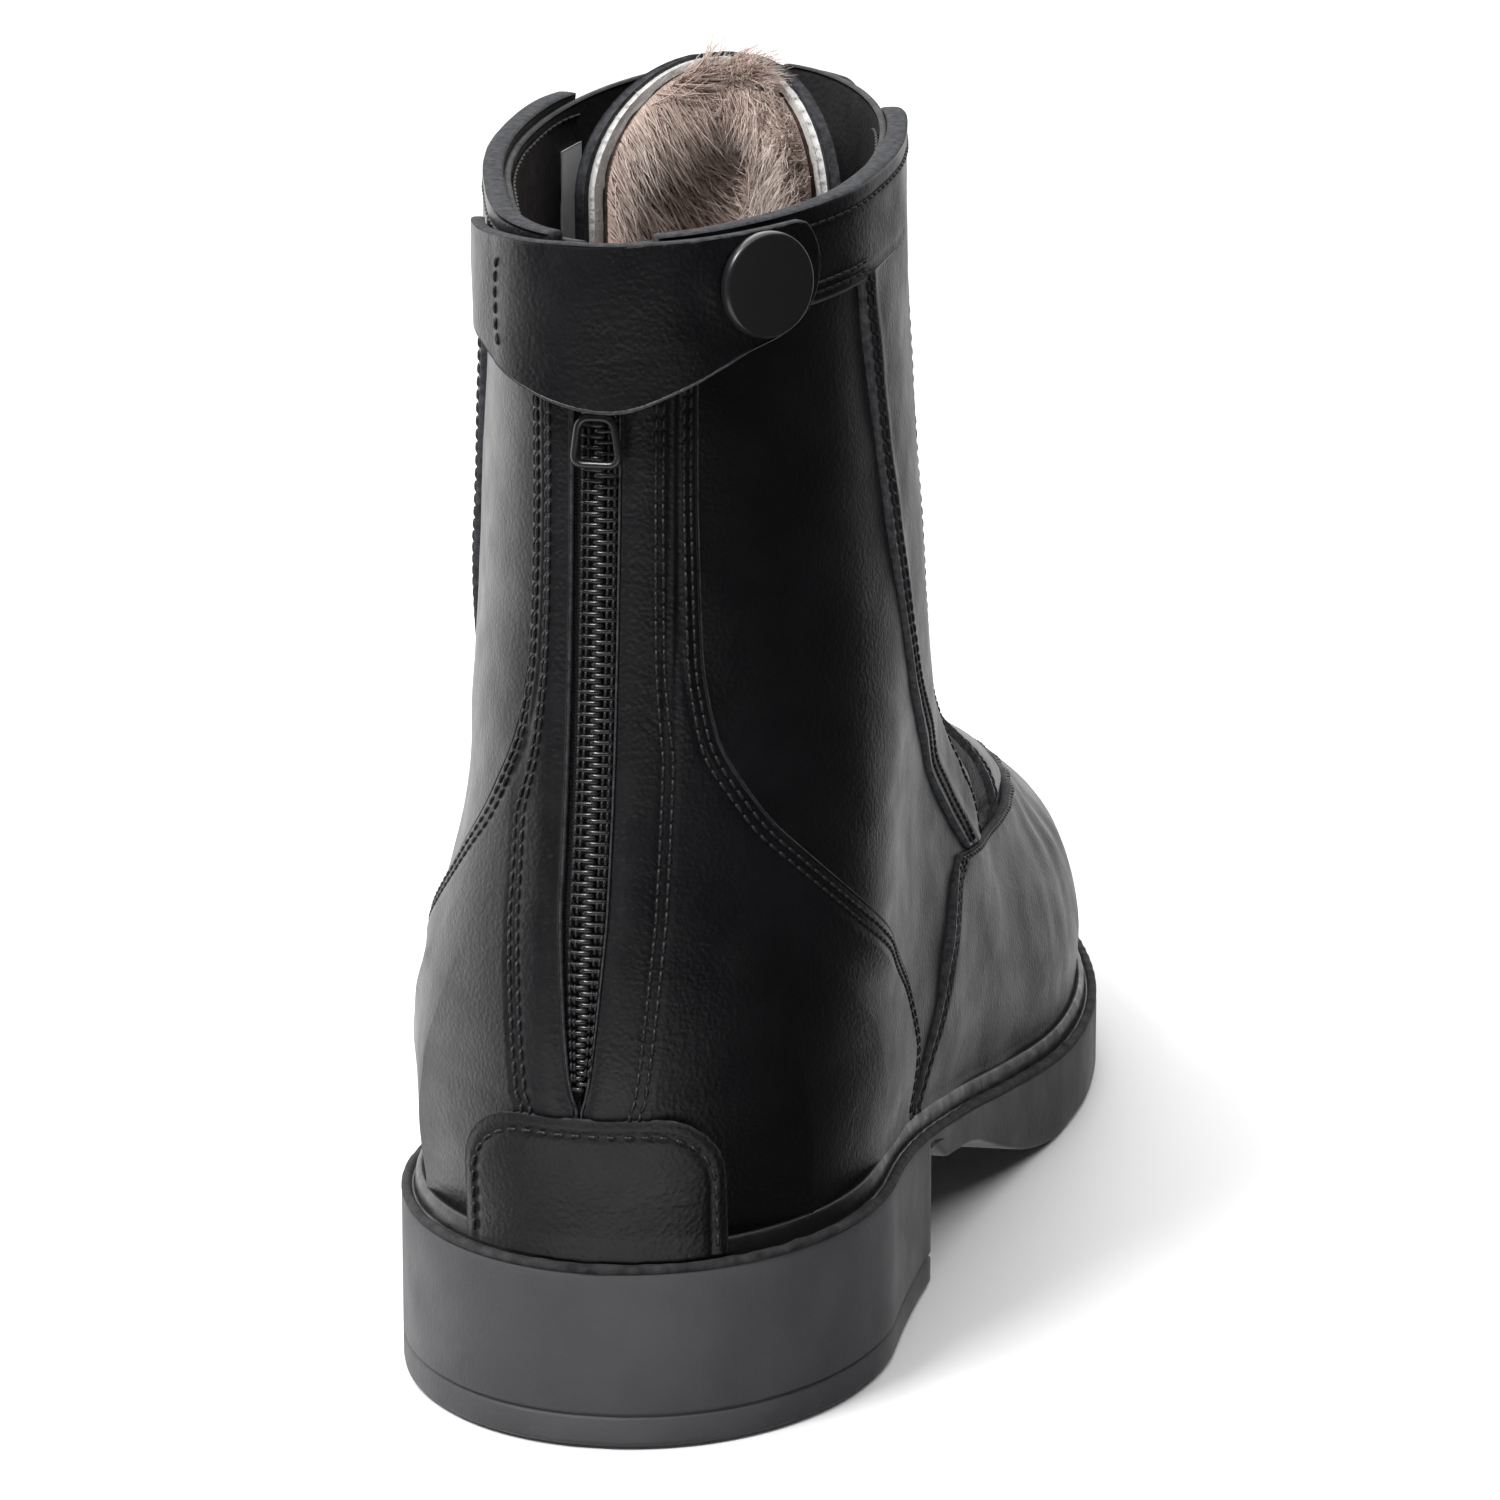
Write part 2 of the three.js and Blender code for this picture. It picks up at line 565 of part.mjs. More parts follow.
function makePull() {
  const ring = (inset) => {
    const [t, l] = [PULL.top / 2 - inset, PULL.low / 2 - inset];
    return [[-l, -PULL.height + inset], [l, -PULL.height + inset], [t, -inset], [-t, -inset]];
  };
  const shape = rounded(new THREE.Shape(), ring(0), 1.4);
  shape.holes.push(rounded(new THREE.Path(), ring(PULL.wall), 0.7));
  return extruded(shape, PULL.thick);
}

const onZip = (up, across, offset) => {
  const level = levelAtHeight(0, up);
  return seated(roundAtAcross(zipAcross(up) + across, level), level, offset);
};
const block3 = (x, y, z) => new THREE.BoxGeometry(x, y, z).translate(0, 0, z / 2);

// ---- finishes ----
const finish = (color, roughness, metalness = 0) => ({ color, roughness, metalness });
const SMOOTH_LEATHER = finish(0x121216, 0.42);
const LINING_LEATHER = finish(0x17171a, 0.6);
const RUBBER = finish(0x1b1b1d, 0.75);
const ELASTIC = finish(0x141416, 0.9);
const BOARD = finish(0x6b5a45, 0.85);
const STEEL = finish(0x9a9a9c, 0.4, 0.9);
const FELT = finish(0xdedcd8, 0.95);
const FUR = finish(0x96857a, 0.95);
const WEBBING = finish(0x151517, 0.85);
const NYLON = finish(0x101012, 0.35);
const LACQUER = finish(0x0d0d0f, 0.25, 0.4);

const boot = new THREE.Group();

function add(name, piece, look) {
  const mesh = piece.isMesh ? piece : new THREE.Mesh(piece);
  mesh.name = name;
  mesh.material = new THREE.MeshStandardMaterial(look);
  boot.add(mesh);
}

add('top_lift', makeTopLift(), RUBBER);
add('heel_block', makeHeelBlock(), RUBBER);
add('outsole', makeOutsole(), RUBBER);
add('welt', makeWelt(), RUBBER);
add('insole_board', makeInsoleBoard(), BOARD);
add('shank', makeShank(), STEEL);
add('footbed', makeFootbed(), FELT);
add('vamp', makeVamp(), SMOOTH_LEATHER);
add('front_panel', makeFrontPanel(), SMOOTH_LEATHER);
add('vamp_lining', makeVampLining(), LINING_LEATHER);
add('toe_puff', makeToePuff(), BOARD);
add('heel_stiffener', makeHeelStiffener(), BOARD);
add('heel_patch', makeHeelPatch(), SMOOTH_LEATHER);
add('tongue_leather', makeTongueLayer(0, 2.2, 0), SMOOTH_LEATHER);
add('tongue_felt', makeTongueLayer(2.5, 4.5, 0.6), FELT);
add('tongue_fur', makeTongueLayer(5, 11.5, 2), FUR);
add('size_label', makeLabel(), FELT);
add('snap_strap', makeStrap(), SMOOTH_LEATHER);
add('strap_anchor', makeStrapAnchor(), SMOOTH_LEATHER);
const capOffset = STRAP + SNAP_LIFT + STRAP_THICKNESS + FLAT_GAP;
add('snap_cap', seat(lathe(SNAP_CAP, 24), snapRound, snapLevel, capOffset), LACQUER);
add('snap_socket', seat(lathe(disc(4.2, 1), 16), snapRound, snapLevel, 3.5), STEEL);
add('snap_stud', seat(lathe(disc(3.8, 0.8), 16), snapRound, snapLevel, 2.35), STEEL);
add('zip_slider', onZip(SLIDER_UP, 0, 2.2)(makeSlider()), LACQUER);
add('zip_pull', onZip(PULL_UP, 0, 2.4)(makePull()), LACQUER);
add('zip_bottom_stop', onZip(47.4, 0, BASE + 0.2)(block3(4, 1.8, 1.1)), STEEL);

for (const [name, side] of [['lateral', 1], ['medial', -1]]) {
  add(`counter_${name}`, makeCounter(side), SMOOTH_LEATHER);
  add(`quarter_${name}`, makeQuarter(side), SMOOTH_LEATHER);
  add(`collar_facing_${name}`, makeFacing(side), SMOOTH_LEATHER);
  add(`elastic_gore_${name}`, makeGore(side), ELASTIC);
  add(`shaft_lining_${name}`, makeShaftLining(side), LINING_LEATHER);
  add(`zip_tape_${name}`, makeTape(side), WEBBING);
  add(`zip_coil_${name}`, makeCoil(side), NYLON);
  add(`zip_top_stop_${name}`, onZip(160.5, side * 1.7, 0.1)(block3(1.8, 2.6, 1.2)), STEEL);
}

export default boot;
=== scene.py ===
"""The looks of a rider's black winter ankle boot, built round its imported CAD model.

Shapes are worked out in millimetres on the boot's own last, as (across, forward, up): across is positive
on the lateral side and forward runs from the back of the heel to the toe. to_frame() turns them into the
row frame in metres. A spot on the last is (round, level): round is 0 at the back seam and +1 or -1 at the
front middle, and level runs from 0 at the welt to TOP at the collar.
"""

import math

import bmesh
import bpy
import numpy as np
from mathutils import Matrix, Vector


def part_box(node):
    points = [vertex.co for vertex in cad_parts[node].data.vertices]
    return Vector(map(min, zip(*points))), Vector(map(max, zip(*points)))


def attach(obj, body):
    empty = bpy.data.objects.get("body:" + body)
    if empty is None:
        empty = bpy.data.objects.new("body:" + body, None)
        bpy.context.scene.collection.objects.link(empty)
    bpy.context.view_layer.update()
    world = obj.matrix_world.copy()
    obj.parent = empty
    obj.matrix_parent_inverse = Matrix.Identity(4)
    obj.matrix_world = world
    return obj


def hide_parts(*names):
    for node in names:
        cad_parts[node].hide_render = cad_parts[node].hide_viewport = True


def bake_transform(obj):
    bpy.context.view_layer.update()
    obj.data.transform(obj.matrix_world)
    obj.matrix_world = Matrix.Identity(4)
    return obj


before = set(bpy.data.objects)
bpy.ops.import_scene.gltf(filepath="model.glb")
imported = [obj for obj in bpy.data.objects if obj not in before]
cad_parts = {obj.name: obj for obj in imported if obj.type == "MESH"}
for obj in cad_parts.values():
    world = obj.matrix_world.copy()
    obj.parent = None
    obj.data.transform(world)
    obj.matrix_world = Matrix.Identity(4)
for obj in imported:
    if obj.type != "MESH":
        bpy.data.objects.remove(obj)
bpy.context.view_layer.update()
rng = np.random.default_rng(7)  # draws for the felt's fuzz and the fur, in the order they are made

# ---- driving dimensions, as in the CAD source ----
CENTRE_FORWARD, CENTRE_ACROSS = 142.5, 2.5
HEEL_BREAST = 79.0
HEEL_TOP = 20.8
ZIP_TOP, ZIP_BOTTOM = 166.0, 49.0
ZIP_LEAN = {"top": -0.3, "bottom": -2.2}
ZIP_OPENING = 3.4
SLIDER_UP, PULL_UP = 153.2, 146.1
STRAP_OFFSET, STRAP_THICKNESS = 4.9, 1.8
SNAP_LIFT, HINGE_DROP = 0.4, 1.6
STRAP_LEVEL, HINGE_FORWARD, STRAP_END = 10.3, 24.0, 28.5
LIFT_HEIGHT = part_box("top_lift")[1].z * 1000

# ---- how the layers lie, as distances out from the last ----
LEATHER = 1.5
OUTER = 1.8  # counters, facings, vamp and front panel
BASE_OUTER = 0.9  # quarters and gores, whose edges go under the outer panels
LINING_OUTER = -1.2
COLLAR_INNER = -1.2  # the collar and the top of the front panel are doubled leather

WELTED = -0.25  # the level where the upper's lower edge lies, behind the rand

# rear and front are [forward, up] of a loop's two ends; heel, waist and ball are half widths;
# nose is the length of the loop's rounded front end
LEVELS = [
    # rear forward, up, front forward, up, heel, waist, ball, nose
    (4.6, 30.5, 280, 17, 32, 31.5, 41.8, 84),
    (3.8, 42, 282.6, 25.5, 33.4, 33.4, 42, 86),
    (4.4, 54, 278, 36, 33, 33.6, 39.2, 88),
    (5.8, 64, 260, 44.6, 32.6, 32.8, 33.4, 90),
    (7.6, 73, 234, 50.8, 32, 31.8, 31.2, 88),
    (9.6, 82, 203, 58.5, 31.2, 31, 31.4, 84),
    (11.4, 91, 165, 70.5, 30.8, 30.8, 31, 76),
    (12.6, 101, 132, 91, 30.7, 31, 30.6, 60),
    (13.4, 113, 121, 117, 30.1, 30.5, 30.4, 54),
    (13.8, 130, 116.4, 139, 29.1, 29.1, 29.1, 52),
    (13.6, 150, 115.6, 160, 28.2, 28.2, 28.2, 52),
    (13.2, 170, 115.4, 182.5, 28, 28, 28, 52),
]
TABLE = np.array(LEVELS, float).T
TOP = len(LEVELS) - 1
REAR_ROUND = (43, 52)
BELOW_LEVEL = 12.0  # millimetres to a level where the surface runs straight down below level 0
HEEL_AT, WAIST_AT, BALL_AT = 45, 100, 190


def mix(a, b, share):
    return a + (b - a) * share


def ramp(x, start, end):
    share = np.clip((np.asarray(x, float) - start) / (end - start), 0, 1)
    return share * share * (3 - 2 * share)


def through(values, x):
    """Smooth curve through evenly spaced values."""
    x = np.asarray(x, float)
    i = np.clip(np.floor(x).astype(int), 0, len(values) - 2)
    t = x - i
    a, b, c, d = (values[np.clip(i + k, 0, len(values) - 1)] for k in (-1, 0, 1, 2))
    return b + 0.5 * t * (c - a + t * (2 * a - 5 * b + 4 * c - d + t * (3 * (b - c) + d - a)))


def arrays(*values):
    """The values as arrays of one shape."""
    return np.broadcast_arrays(*(np.asarray(value, float) for value in values))


def bell(x, at, width):
    return np.exp(-(((x - at) / width) ** 2))


def middle(forward, up):
    """How far the loops' middle line lies to the lateral side."""
    sole = 5 * ramp(forward, 55, 130) - 9 * ramp(forward, 150, 285)
    shaft = 4.1 * ramp(forward, 8, 42) * ramp(up, 45, 92)
    return mix(sole + shaft * (1 - ramp(forward, 45, 110)), shaft, ramp(up, 60, 120))


def last(around, level):
    """Points of the last's surface."""
    around, level = arrays(around, level)
    below = BELOW_LEVEL * np.minimum(level, 0)
    level = np.maximum(level, 0)
    rear, rear_up, front, front_up, heel, waist, ball, nose = (through(row, level) for row in TABLE)
    share = (1 - np.cos(np.pi * around)) / 2
    forward = mix(rear, front, share)
    step = mix(ramp(share, 0.13, 0.62), share, ramp(level, 0, 5))
    toe_spring = 2.5 * ramp(forward, 215, 285) * (1 - ramp(level, 0, 2))
    up = mix(rear_up, front_up, step) + toe_spring
    rear_width = mix(heel, waist, ramp(forward, HEEL_AT, WAIST_AT))
    width = mix(rear_width, ball, ramp(forward, WAIST_AT + 5, BALL_AT + 5))
    rear_round = mix(*REAR_ROUND, level / TOP)
    rear_part = np.clip((rear + rear_round - forward) / rear_round, 0, 1)
    front_part = np.clip((forward - front + nose) / nose, 0, 1)
    half = width * np.sqrt((1 - rear_part**2) * (1 - front_part**2))
    side = np.sign(np.sin(np.pi * around))
    return np.stack([middle(forward, up) + side * half, forward, up + below], -1)


def unit(v):
    return v / np.maximum(np.linalg.norm(v, axis=-1, keepdims=True), 1e-9)


def surface(around, level):
    """Points of the last and its outward normals there."""
    around, level = arrays(around, level)
    step = 0.004
    along = last(around + step, level) - last(around - step, level)
    rise = last(around, np.minimum(level + 4 * step, TOP)) - last(around, level - 4 * step)
    normal = np.cross(along, rise)
    normal[..., 2] = np.where(level < 0.02, 0, normal[..., 2])
    return last(around, level), unit(normal)


def round_at(forward, level):
    """The round that lies so far forward on a level."""
    rear, front = through(TABLE[0], level), through(TABLE[2], level)
    share = np.clip((forward - rear) / (front - rear), 0, 1)
    return np.arccos(1 - 2 * share) / np.pi


def bisect(wanted, at, low, high):
    """Where the rising function at() reaches wanted, for arrays."""
    low = np.full(np.shape(wanted), float(low))
    high = np.full(np.shape(wanted), float(high))
    for _ in range(36):
        half = (low + high) / 2
        under = at(half) < wanted
        low, high = np.where(under, half, low), np.where(under, high, half)
    return (low + high) / 2


def level_at_height(around, up):
    around, up = arrays(around, up)
    return bisect(up, lambda level: last(around, level)[..., 2], -0.6, TOP)


def level_at_side(forward, up):
    return float(bisect(up, lambda level: last(round_at(forward, level), level)[..., 2], 0, TOP))


def round_at_across(across, level):
    across, level = arrays(across, level)
    return bisect(across, lambda around: last(around, level)[..., 0], -0.3, 0.3)


def seam(points):
    """A seam given as (forward, up) points on a side, as a smoothed function from level to round."""
    rows = sorted((level_at_side(f, u), f) for f, u in points)
    levels = np.array([row[0] for row in rows])
    rounds = np.array([round_at(f, level) for level, f in rows])
    fine = np.linspace(0, TOP, 331)
    spread = 9
    padded = np.pad(np.interp(fine, levels, rounds), spread, mode="edge")
    kernel = np.hanning(2 * spread + 3)[1:-1]
    smooth = np.convolve(padded, kernel / kernel.sum(), "valid")
    return lambda level: np.interp(level, fine, smooth)


def to_frame(points):
    """Millimetres on the last to metres in the row frame."""
    points = np.asarray(points, float)
    turned = np.stack([CENTRE_ACROSS - points[..., 0], CENTRE_FORWARD - points[..., 1], points[..., 2]], -1)
    return turned / 1000


# ---- mesh making ----
class Shape:
    """Points and faces gathered for one piece, in millimetres on the last."""

    def __init__(self):
        self.points, self.faces, self.looks, self.tones = [], [], [], []
        self.count = 0

    def add(self, points, faces, look=0):
        """Adds points (n, 3) and faces (m, 3) or (m, 4). look is a material index."""
        points = np.asarray(points, float).reshape(-1, 3)
        faces = np.asarray(faces, int)
        self.faces.append(faces + self.count)
        self.looks.append(np.full(len(faces), look))
        self.points.append(points)
        self.tones.append(np.full(len(points), 0.5))
        self.count += len(points)

    def grid(self, points, look=0, turned=False, closed=False):
        """Adds a grid of points (rows, columns, 3) as quads. closed joins its last row to its first."""
        rows, columns = points.shape[:2]
        ids = np.arange(rows * columns).reshape(rows, columns)
        if closed:
            ids = np.vstack([ids, ids[:1]])
        quads = np.stack([ids[:-1, :-1], ids[:-1, 1:], ids[1:, 1:], ids[1:, :-1]], -1).reshape(-1, 4)
        self.add(points, quads[:, ::-1] if turned else quads, look)

    def build(self, name, materials, body=None, replaces=(), merge=True):
        points = to_frame(np.vstack(self.points))
        corners = np.concatenate([f.ravel() for f in self.faces])
        sizes = np.concatenate([np.full(len(f), f.shape[1]) for f in self.faces])
        mesh = bpy.data.meshes.new(name)
        mesh.vertices.add(len(points))
        mesh.vertices.foreach_set("co", points.astype(np.float32).ravel())
        mesh.loops.add(len(corners))
        mesh.loops.foreach_set("vertex_index", corners.astype(np.int32))
        mesh.polygons.add(len(sizes))
        mesh.polygons.foreach_set("loop_start", (np.cumsum(sizes) - sizes).astype(np.int32))
        mesh.polygons.foreach_set("material_index", np.concatenate(self.looks).astype(np.int32))
        mesh.update(calc_edges=True)
        tone = mesh.attributes.new("tone", "FLOAT", "POINT")
        tone.data.foreach_set("value", np.concatenate(self.tones).astype(np.float32))
        mesh.shade_smooth()
        for material in materials:
            mesh.materials.append(material)
        piece = bpy.data.objects.new(name, mesh)
        bpy.context.scene.collection.objects.link(piece)
        if merge:
            weld(mesh)
        if body:
            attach(piece, body)
        if replaces:
            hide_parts(*replaces)
        return piece


def weld(mesh):
    """Joins points that lie together, so that a piece is one closed skin."""
    work = bmesh.new()
    work.from_mesh(mesh)
    bmesh.ops.remove_doubles(work, verts=work.verts, dist=2e-6)
    bmesh.ops.dissolve_degenerate(work, edges=work.edges, dist=1e-7)
    work.to_mesh(mesh)
    work.free()


def lengths(points, axis):
    """Distance run along an axis of a grid of points, from 0."""
    steps = np.linalg.norm(np.diff(points, axis=axis), axis=-1)
    zero = np.zeros_like(np.take(steps, [0], axis))
    return np.concatenate([zero, np.cumsum(steps, axis)], axis)


def border_insets(zone, fine):
    """Even distances in from a border, over its fine zone."""
    return np.arange(0, zone + fine / 2, fine)


class Panel:
    """A sheet of the boot between two distances from the last, with fine rows near its borders.

    spots(s, t) gives (round, level) for shares across and up. relief(self) gives how far each spot stands
    proud, from the distances to the four borders: left, right, low and high, in millimetres.
    """

    def __init__(self, spots, outer, inner=None, at=surface, zone=6.0, fine=0.45, coarse=1.5, relief=None):
        self.outer, self.at = outer, at
        self.inner = outer - LEATHER if inner is None else inner
        left, right, ends = zone if isinstance(zone, tuple) else (zone, zone, zone)
        self.left_insets, self.right_insets = border_insets(left, fine), border_insets(right, fine)
        self.insets = border_insets(ends, fine)
        t_fine = np.linspace(0, 1, 160)
        column, _ = at(*spots(np.full_like(t_fine, 0.5), t_fine))
        ends = (self.insets, self.insets)
        t = self.spread(lengths(column, 0), t_fine, 1.0, 1.0, max(coarse, 1.2), ends)
        s_fine = np.linspace(0, 1, 90)
        rows, _ = at(*spots(s_fine[None, :], t[:, None]))
        run = lengths(rows, 1)
        slant = [self.slant(rows, 0, 1), self.slant(rows, -1, -2)]
        middle_count = max(3, int((np.median(run[:, -1]) - left - right) / coarse))
        sides = (self.left_insets, self.right_insets)
        s = np.stack([
            self.spread(run[j], s_fine, slant[0][j], slant[1][j], coarse, sides, middle_count)
            for j in range(len(t))
        ])
        self.spots = spots(s, t[:, None])
        self.points, self.normals = at(*self.spots)
        run = lengths(self.points, 1)
        self.left = run * slant[0][:, None]
        self.right = (run[:, -1:] - run) * slant[1][:, None]
        rise = lengths(self.points, 0)
        self.low, self.high = rise, rise[-1:] - rise
        self.relief = np.zeros(run.shape) if relief is None else relief(self)
        self.face = self.points + self.normals * (outer + self.relief)[..., None]

    @staticmethod
    def spread(run, shares, low_slant, high_slant, coarse, insets, middle_count=None):
        """Shares at the fine border distances and evenly between them."""
        length = run[-1]
        low_zone, high_zone = insets[0][-1] / low_slant, insets[1][-1] / high_slant
        squeeze = min(1.0, 0.94 * length / (low_zone + high_zone))
        count = middle_count or max(2, int((length - low_zone - high_zone) / coarse))
        low = insets[0] * squeeze / low_slant
        high = length - insets[1][::-1] * squeeze / high_slant
        wanted = np.concatenate([low, np.linspace(low[-1], high[0], count + 1)[1:-1], high])
        return np.interp(wanted, run, shares)

    @staticmethod
    def slant(rows, border, inside):
        """How squarely the rows meet a side border: 1 where they are square to it."""
        along = unit(np.gradient(rows[:, border], axis=0))
        across = unit(rows[:, inside] - rows[:, border])
        return np.clip(np.linalg.norm(np.cross(along, across), axis=-1), 0.35, 1)

    def column(self, side, inset):
        """A line at that inset from the left or right border: points and normals."""
        insets = self.left_insets if side == "left" else self.right_insets
        k = int(np.argmin(np.abs(insets - inset)))
        k = k if side == "left" else self.points.shape[1] - 1 - k
        return self.face[:, k], self.normals[:, k]

    def row(self, side, inset):
        k = int(np.argmin(np.abs(self.insets - inset)))
        k = k if side == "low" else self.points.shape[0] - 1 - k
        return self.face[k], self.normals[k]

    def border(self):
        """Indexes of the border's spots, once round."""
        rows, columns = self.points.shape[:2]
        low = [(0, i) for i in range(columns - 1)]
        right = [(j, columns - 1) for j in range(rows - 1)]
        high = [(rows - 1, i) for i in range(columns - 1, 0, -1)]
        left = [(j, 0) for j in range(rows - 1, 0, -1)]
        return np.array(low + right + high + left).T

    def into(self, shape, look=0, edge_look=1, back_look=0, bulge=0.45, rim_steps=5, roll=0.8):
        """Adds the outer face, the inner face and a rounded rim between them."""
        back = self.points + self.normals * self.inner
        shape.grid(self.face, look)
        shape.grid(back, back_look, turned=True)
        j, i = self.border()
        points, normals = self.points[j, i], self.normals[j, i]
        along = unit(np.roll(points, -1, 0) - np.roll(points, 1, 0))
        outward = unit(np.cross(along, normals))
        top = self.outer + self.relief[j, i]
        rings = []
        for angle in np.linspace(0, np.pi, rim_steps + 2):
            share = (1 - np.sign(np.cos(angle)) * abs(np.cos(angle)) ** roll) / 2
            offset = mix(top, self.inner, share)
            rings.append(points + normals * offset[:, None] + outward * bulge * np.sin(angle) ** roll)
        shape.grid(np.stack(rings, 1)[:, ::-1], edge_look, closed=True)


def swayed(points, size, amount, seed):
    """Soft seeded unevenness of a surface: size is its rough wavelength."""
    draw = np.random.default_rng(seed)
    total = np.zeros(points.shape[:-1])
    for _ in range(9):
        wave = unit(draw.normal(size=3)) * draw.uniform(0.7, 1.5) / size * 2 * np.pi
        total += np.sin(points @ wave + draw.uniform(0, 2 * np.pi))
    return amount * total / 3


def grooves(distance, places, depth=0.22, width=0.5):
    """Furrows that stitching pulls in along a border."""
    return -sum(depth * bell(distance, place, width) for place in places)


def stitch_row(shape, line, normals, pitch=2.05, length=2.0, width=0.56, look=2, lift=0.14):
    """Threads laid along a line of the surface, their ends diving into their holes."""
    run = lengths(line, 0)
    count = int(run[-1] / pitch)
    if count < 1:
        return
    starts = (run[-1] - count * pitch) / 2 + pitch * (np.arange(count) + 0.5)
    places = np.linspace(-1, 1, 7)
    spots = starts[:, None] + places * length / 2
    centre = np.stack([np.interp(spots, run, line[:, k]) for k in range(3)], -1)
    up = unit(np.stack([np.interp(spots, run, normals[:, k]) for k in range(3)], -1))
    along = unit(centre[:, -1] - centre[:, 0])[:, None, :]
    side = unit(np.cross(up, along))
    radius = width / 2 * np.sqrt(np.clip(1 - (places * 0.93) ** 4, 0.05, 1))
    sink = lift - 0.36 * np.abs(places) ** 4
    centre = centre + up * sink[:, None]
    turn = np.arange(6) * np.pi / 3
    across, above = side[:, :, None, :], up[:, :, None, :]
    ring = across * np.cos(turn)[:, None] + above * np.sin(turn)[:, None]
    add_tubes(shape, centre[:, :, None, :] + ring * radius[None, :, None, None], look)


def add_tubes(shape, points, look=0):
    """Adds tubes given as rings of points (tubes, rings, sides, 3), closed at both ends."""
    tubes, rings, sides = points.shape[:3]
    ids = np.arange(tubes * rings * sides).reshape(tubes, rings, sides)
    near, far = ids[:, :-1], ids[:, 1:]
    quads = np.stack([near, np.roll(near, -1, 2), np.roll(far, -1, 2), far], -1).reshape(-1, 4)
    caps = []
    for ring, turned in ((ids[:, 0], True), (ids[:, -1], False)):
        for k in range(1, sides - 1):
            fan = np.stack([ring[:, 0], ring[:, k], ring[:, k + 1]], -1)
            caps.append(fan[:, ::-1] if turned else fan)
    shape.add(points, quads, look)
    shape.count -= ids.size
    shape.add(np.zeros((0, 3)), np.concatenate(caps), look)
    shape.count += ids.size


def tube_rings(path, radius, sides=8, flat=1.0, up=(0, 0, 1), closed=False):
    """Rings of points round a path (n, 3). radius may change along it; flat squeezes it along up."""
    path = np.asarray(path, float)
    if closed:
        along = unit(np.roll(path, -1, 0) - np.roll(path, 1, 0))
    else:
        along = unit(np.gradient(path, axis=0))
    side = unit(np.cross(along, np.asarray(up, float)))
    lift = unit(np.cross(side, along))
    radius = np.broadcast_to(radius, len(path))[:, None, None]
    turn = np.arange(sides) * 2 * np.pi / sides
    return path[:, None] + radius * (
        side[:, None] * np.cos(turn)[None, :, None] + flat * lift[:, None] * np.sin(turn)[None, :, None]
    )


# ---- materials ----
class Nodes:
    """A material's node tree with short ways to add and join nodes."""

    def __init__(self, name, colour, roughness, **sockets):
        self.material = bpy.data.materials.new(name)
        self.material.use_nodes = True
        self.tree = self.material.node_tree
        self.shader = self.tree.nodes["Principled BSDF"]
        self.set(Base_Color=(*colour, 1), Roughness=roughness, **sockets)
        self.place = self.tree.nodes.new("ShaderNodeTexCoord").outputs["Object"]
        self.material.diffuse_color = (*colour, 1)

    def set(self, **sockets):
        for socket, value in sockets.items():
            self.shader.inputs[socket.replace("_", " ")].default_value = value

    def node(self, kind, **inputs):
        made = self.tree.nodes.new("ShaderNode" + kind)
        for key, value in inputs.items():
            socket = made.inputs[key.replace("_", " ")]
            if isinstance(value, bpy.types.NodeSocket):
                self.tree.links.new(value, socket)
            else:
                socket.default_value = value
        return made

    def noise(self, scale, detail=4.0, roughness=0.55, place=None, distortion=0.0):
        made = self.node("TexNoise", Vector=place or self.place, Scale=scale, Detail=detail)
        made.inputs["Roughness"].default_value = roughness
        made.inputs["Distortion"].default_value = distortion
        return made.outputs["Fac"]

    def cells(self, scale, feature="F1"):
        made = self.node("TexVoronoi", Vector=self.place, Scale=scale)
        made.feature = feature
        return made.outputs["Distance"]

    def stretched(self, scale, turn=(0, 0, 0)):
        made = self.node("Mapping", Vector=self.place, Scale=scale, Rotation=turn)
        return made.outputs["Vector"]

    def wave(self, scale, axis):
        made = self.node("TexWave", Vector=self.place, Scale=scale)
        made.bands_direction = axis
        return made.outputs["Fac"]

    def roughen(self, value, from_low, from_high, to_low, to_high):
        """Lets a value drive the roughness."""
        made = self.tree.nodes.new("ShaderNodeMapRange")
        for socket, number in zip(made.inputs[1:5], (from_low, from_high, to_low, to_high)):
            socket.default_value = number
        self.tree.links.new(value, made.inputs[0])
        self.join(made.outputs[0], "Roughness")

    def maths(self, kind, a, b):
        made = self.tree.nodes.new("ShaderNodeMath")
        made.operation = kind
        for socket, value in zip(made.inputs, (a, b)):
            if isinstance(value, bpy.types.NodeSocket):
                self.tree.links.new(value, socket)
            else:
                socket.default_value = value
        return made.outputs[0]

    def paint(self, value, *stops):
        """Colours the surface by a value, through (place, colour) stops."""
        made = self.node("ValToRGB", Fac=value)
        elements = made.color_ramp.elements
        while len(elements) < len(stops):
            elements.new(1.0)
        for element, (place, colour) in zip(elements, stops):
            element.position = place
            element.color = (*colour, 1)
        self.join(made.outputs["Color"], "Base Color")

    def bump(self, height, strength, distance, under=None):
        made = self.node("Bump", Height=height, Strength=strength, Distance=distance)
        if under is not None:
            self.tree.links.new(under, made.inputs["Normal"])
        return made.outputs["Normal"]

    def dent(self, height, strength, distance, under=None):
        self.join(self.bump(height, strength, distance, under), "Normal")

    def join(self, value, socket):
        self.tree.links.new(value, self.shader.inputs[socket])

    def attribute(self, name):
        made = self.tree.nodes.new("ShaderNodeAttribute")
        made.attribute_name = name
        return made.outputs["Fac"]


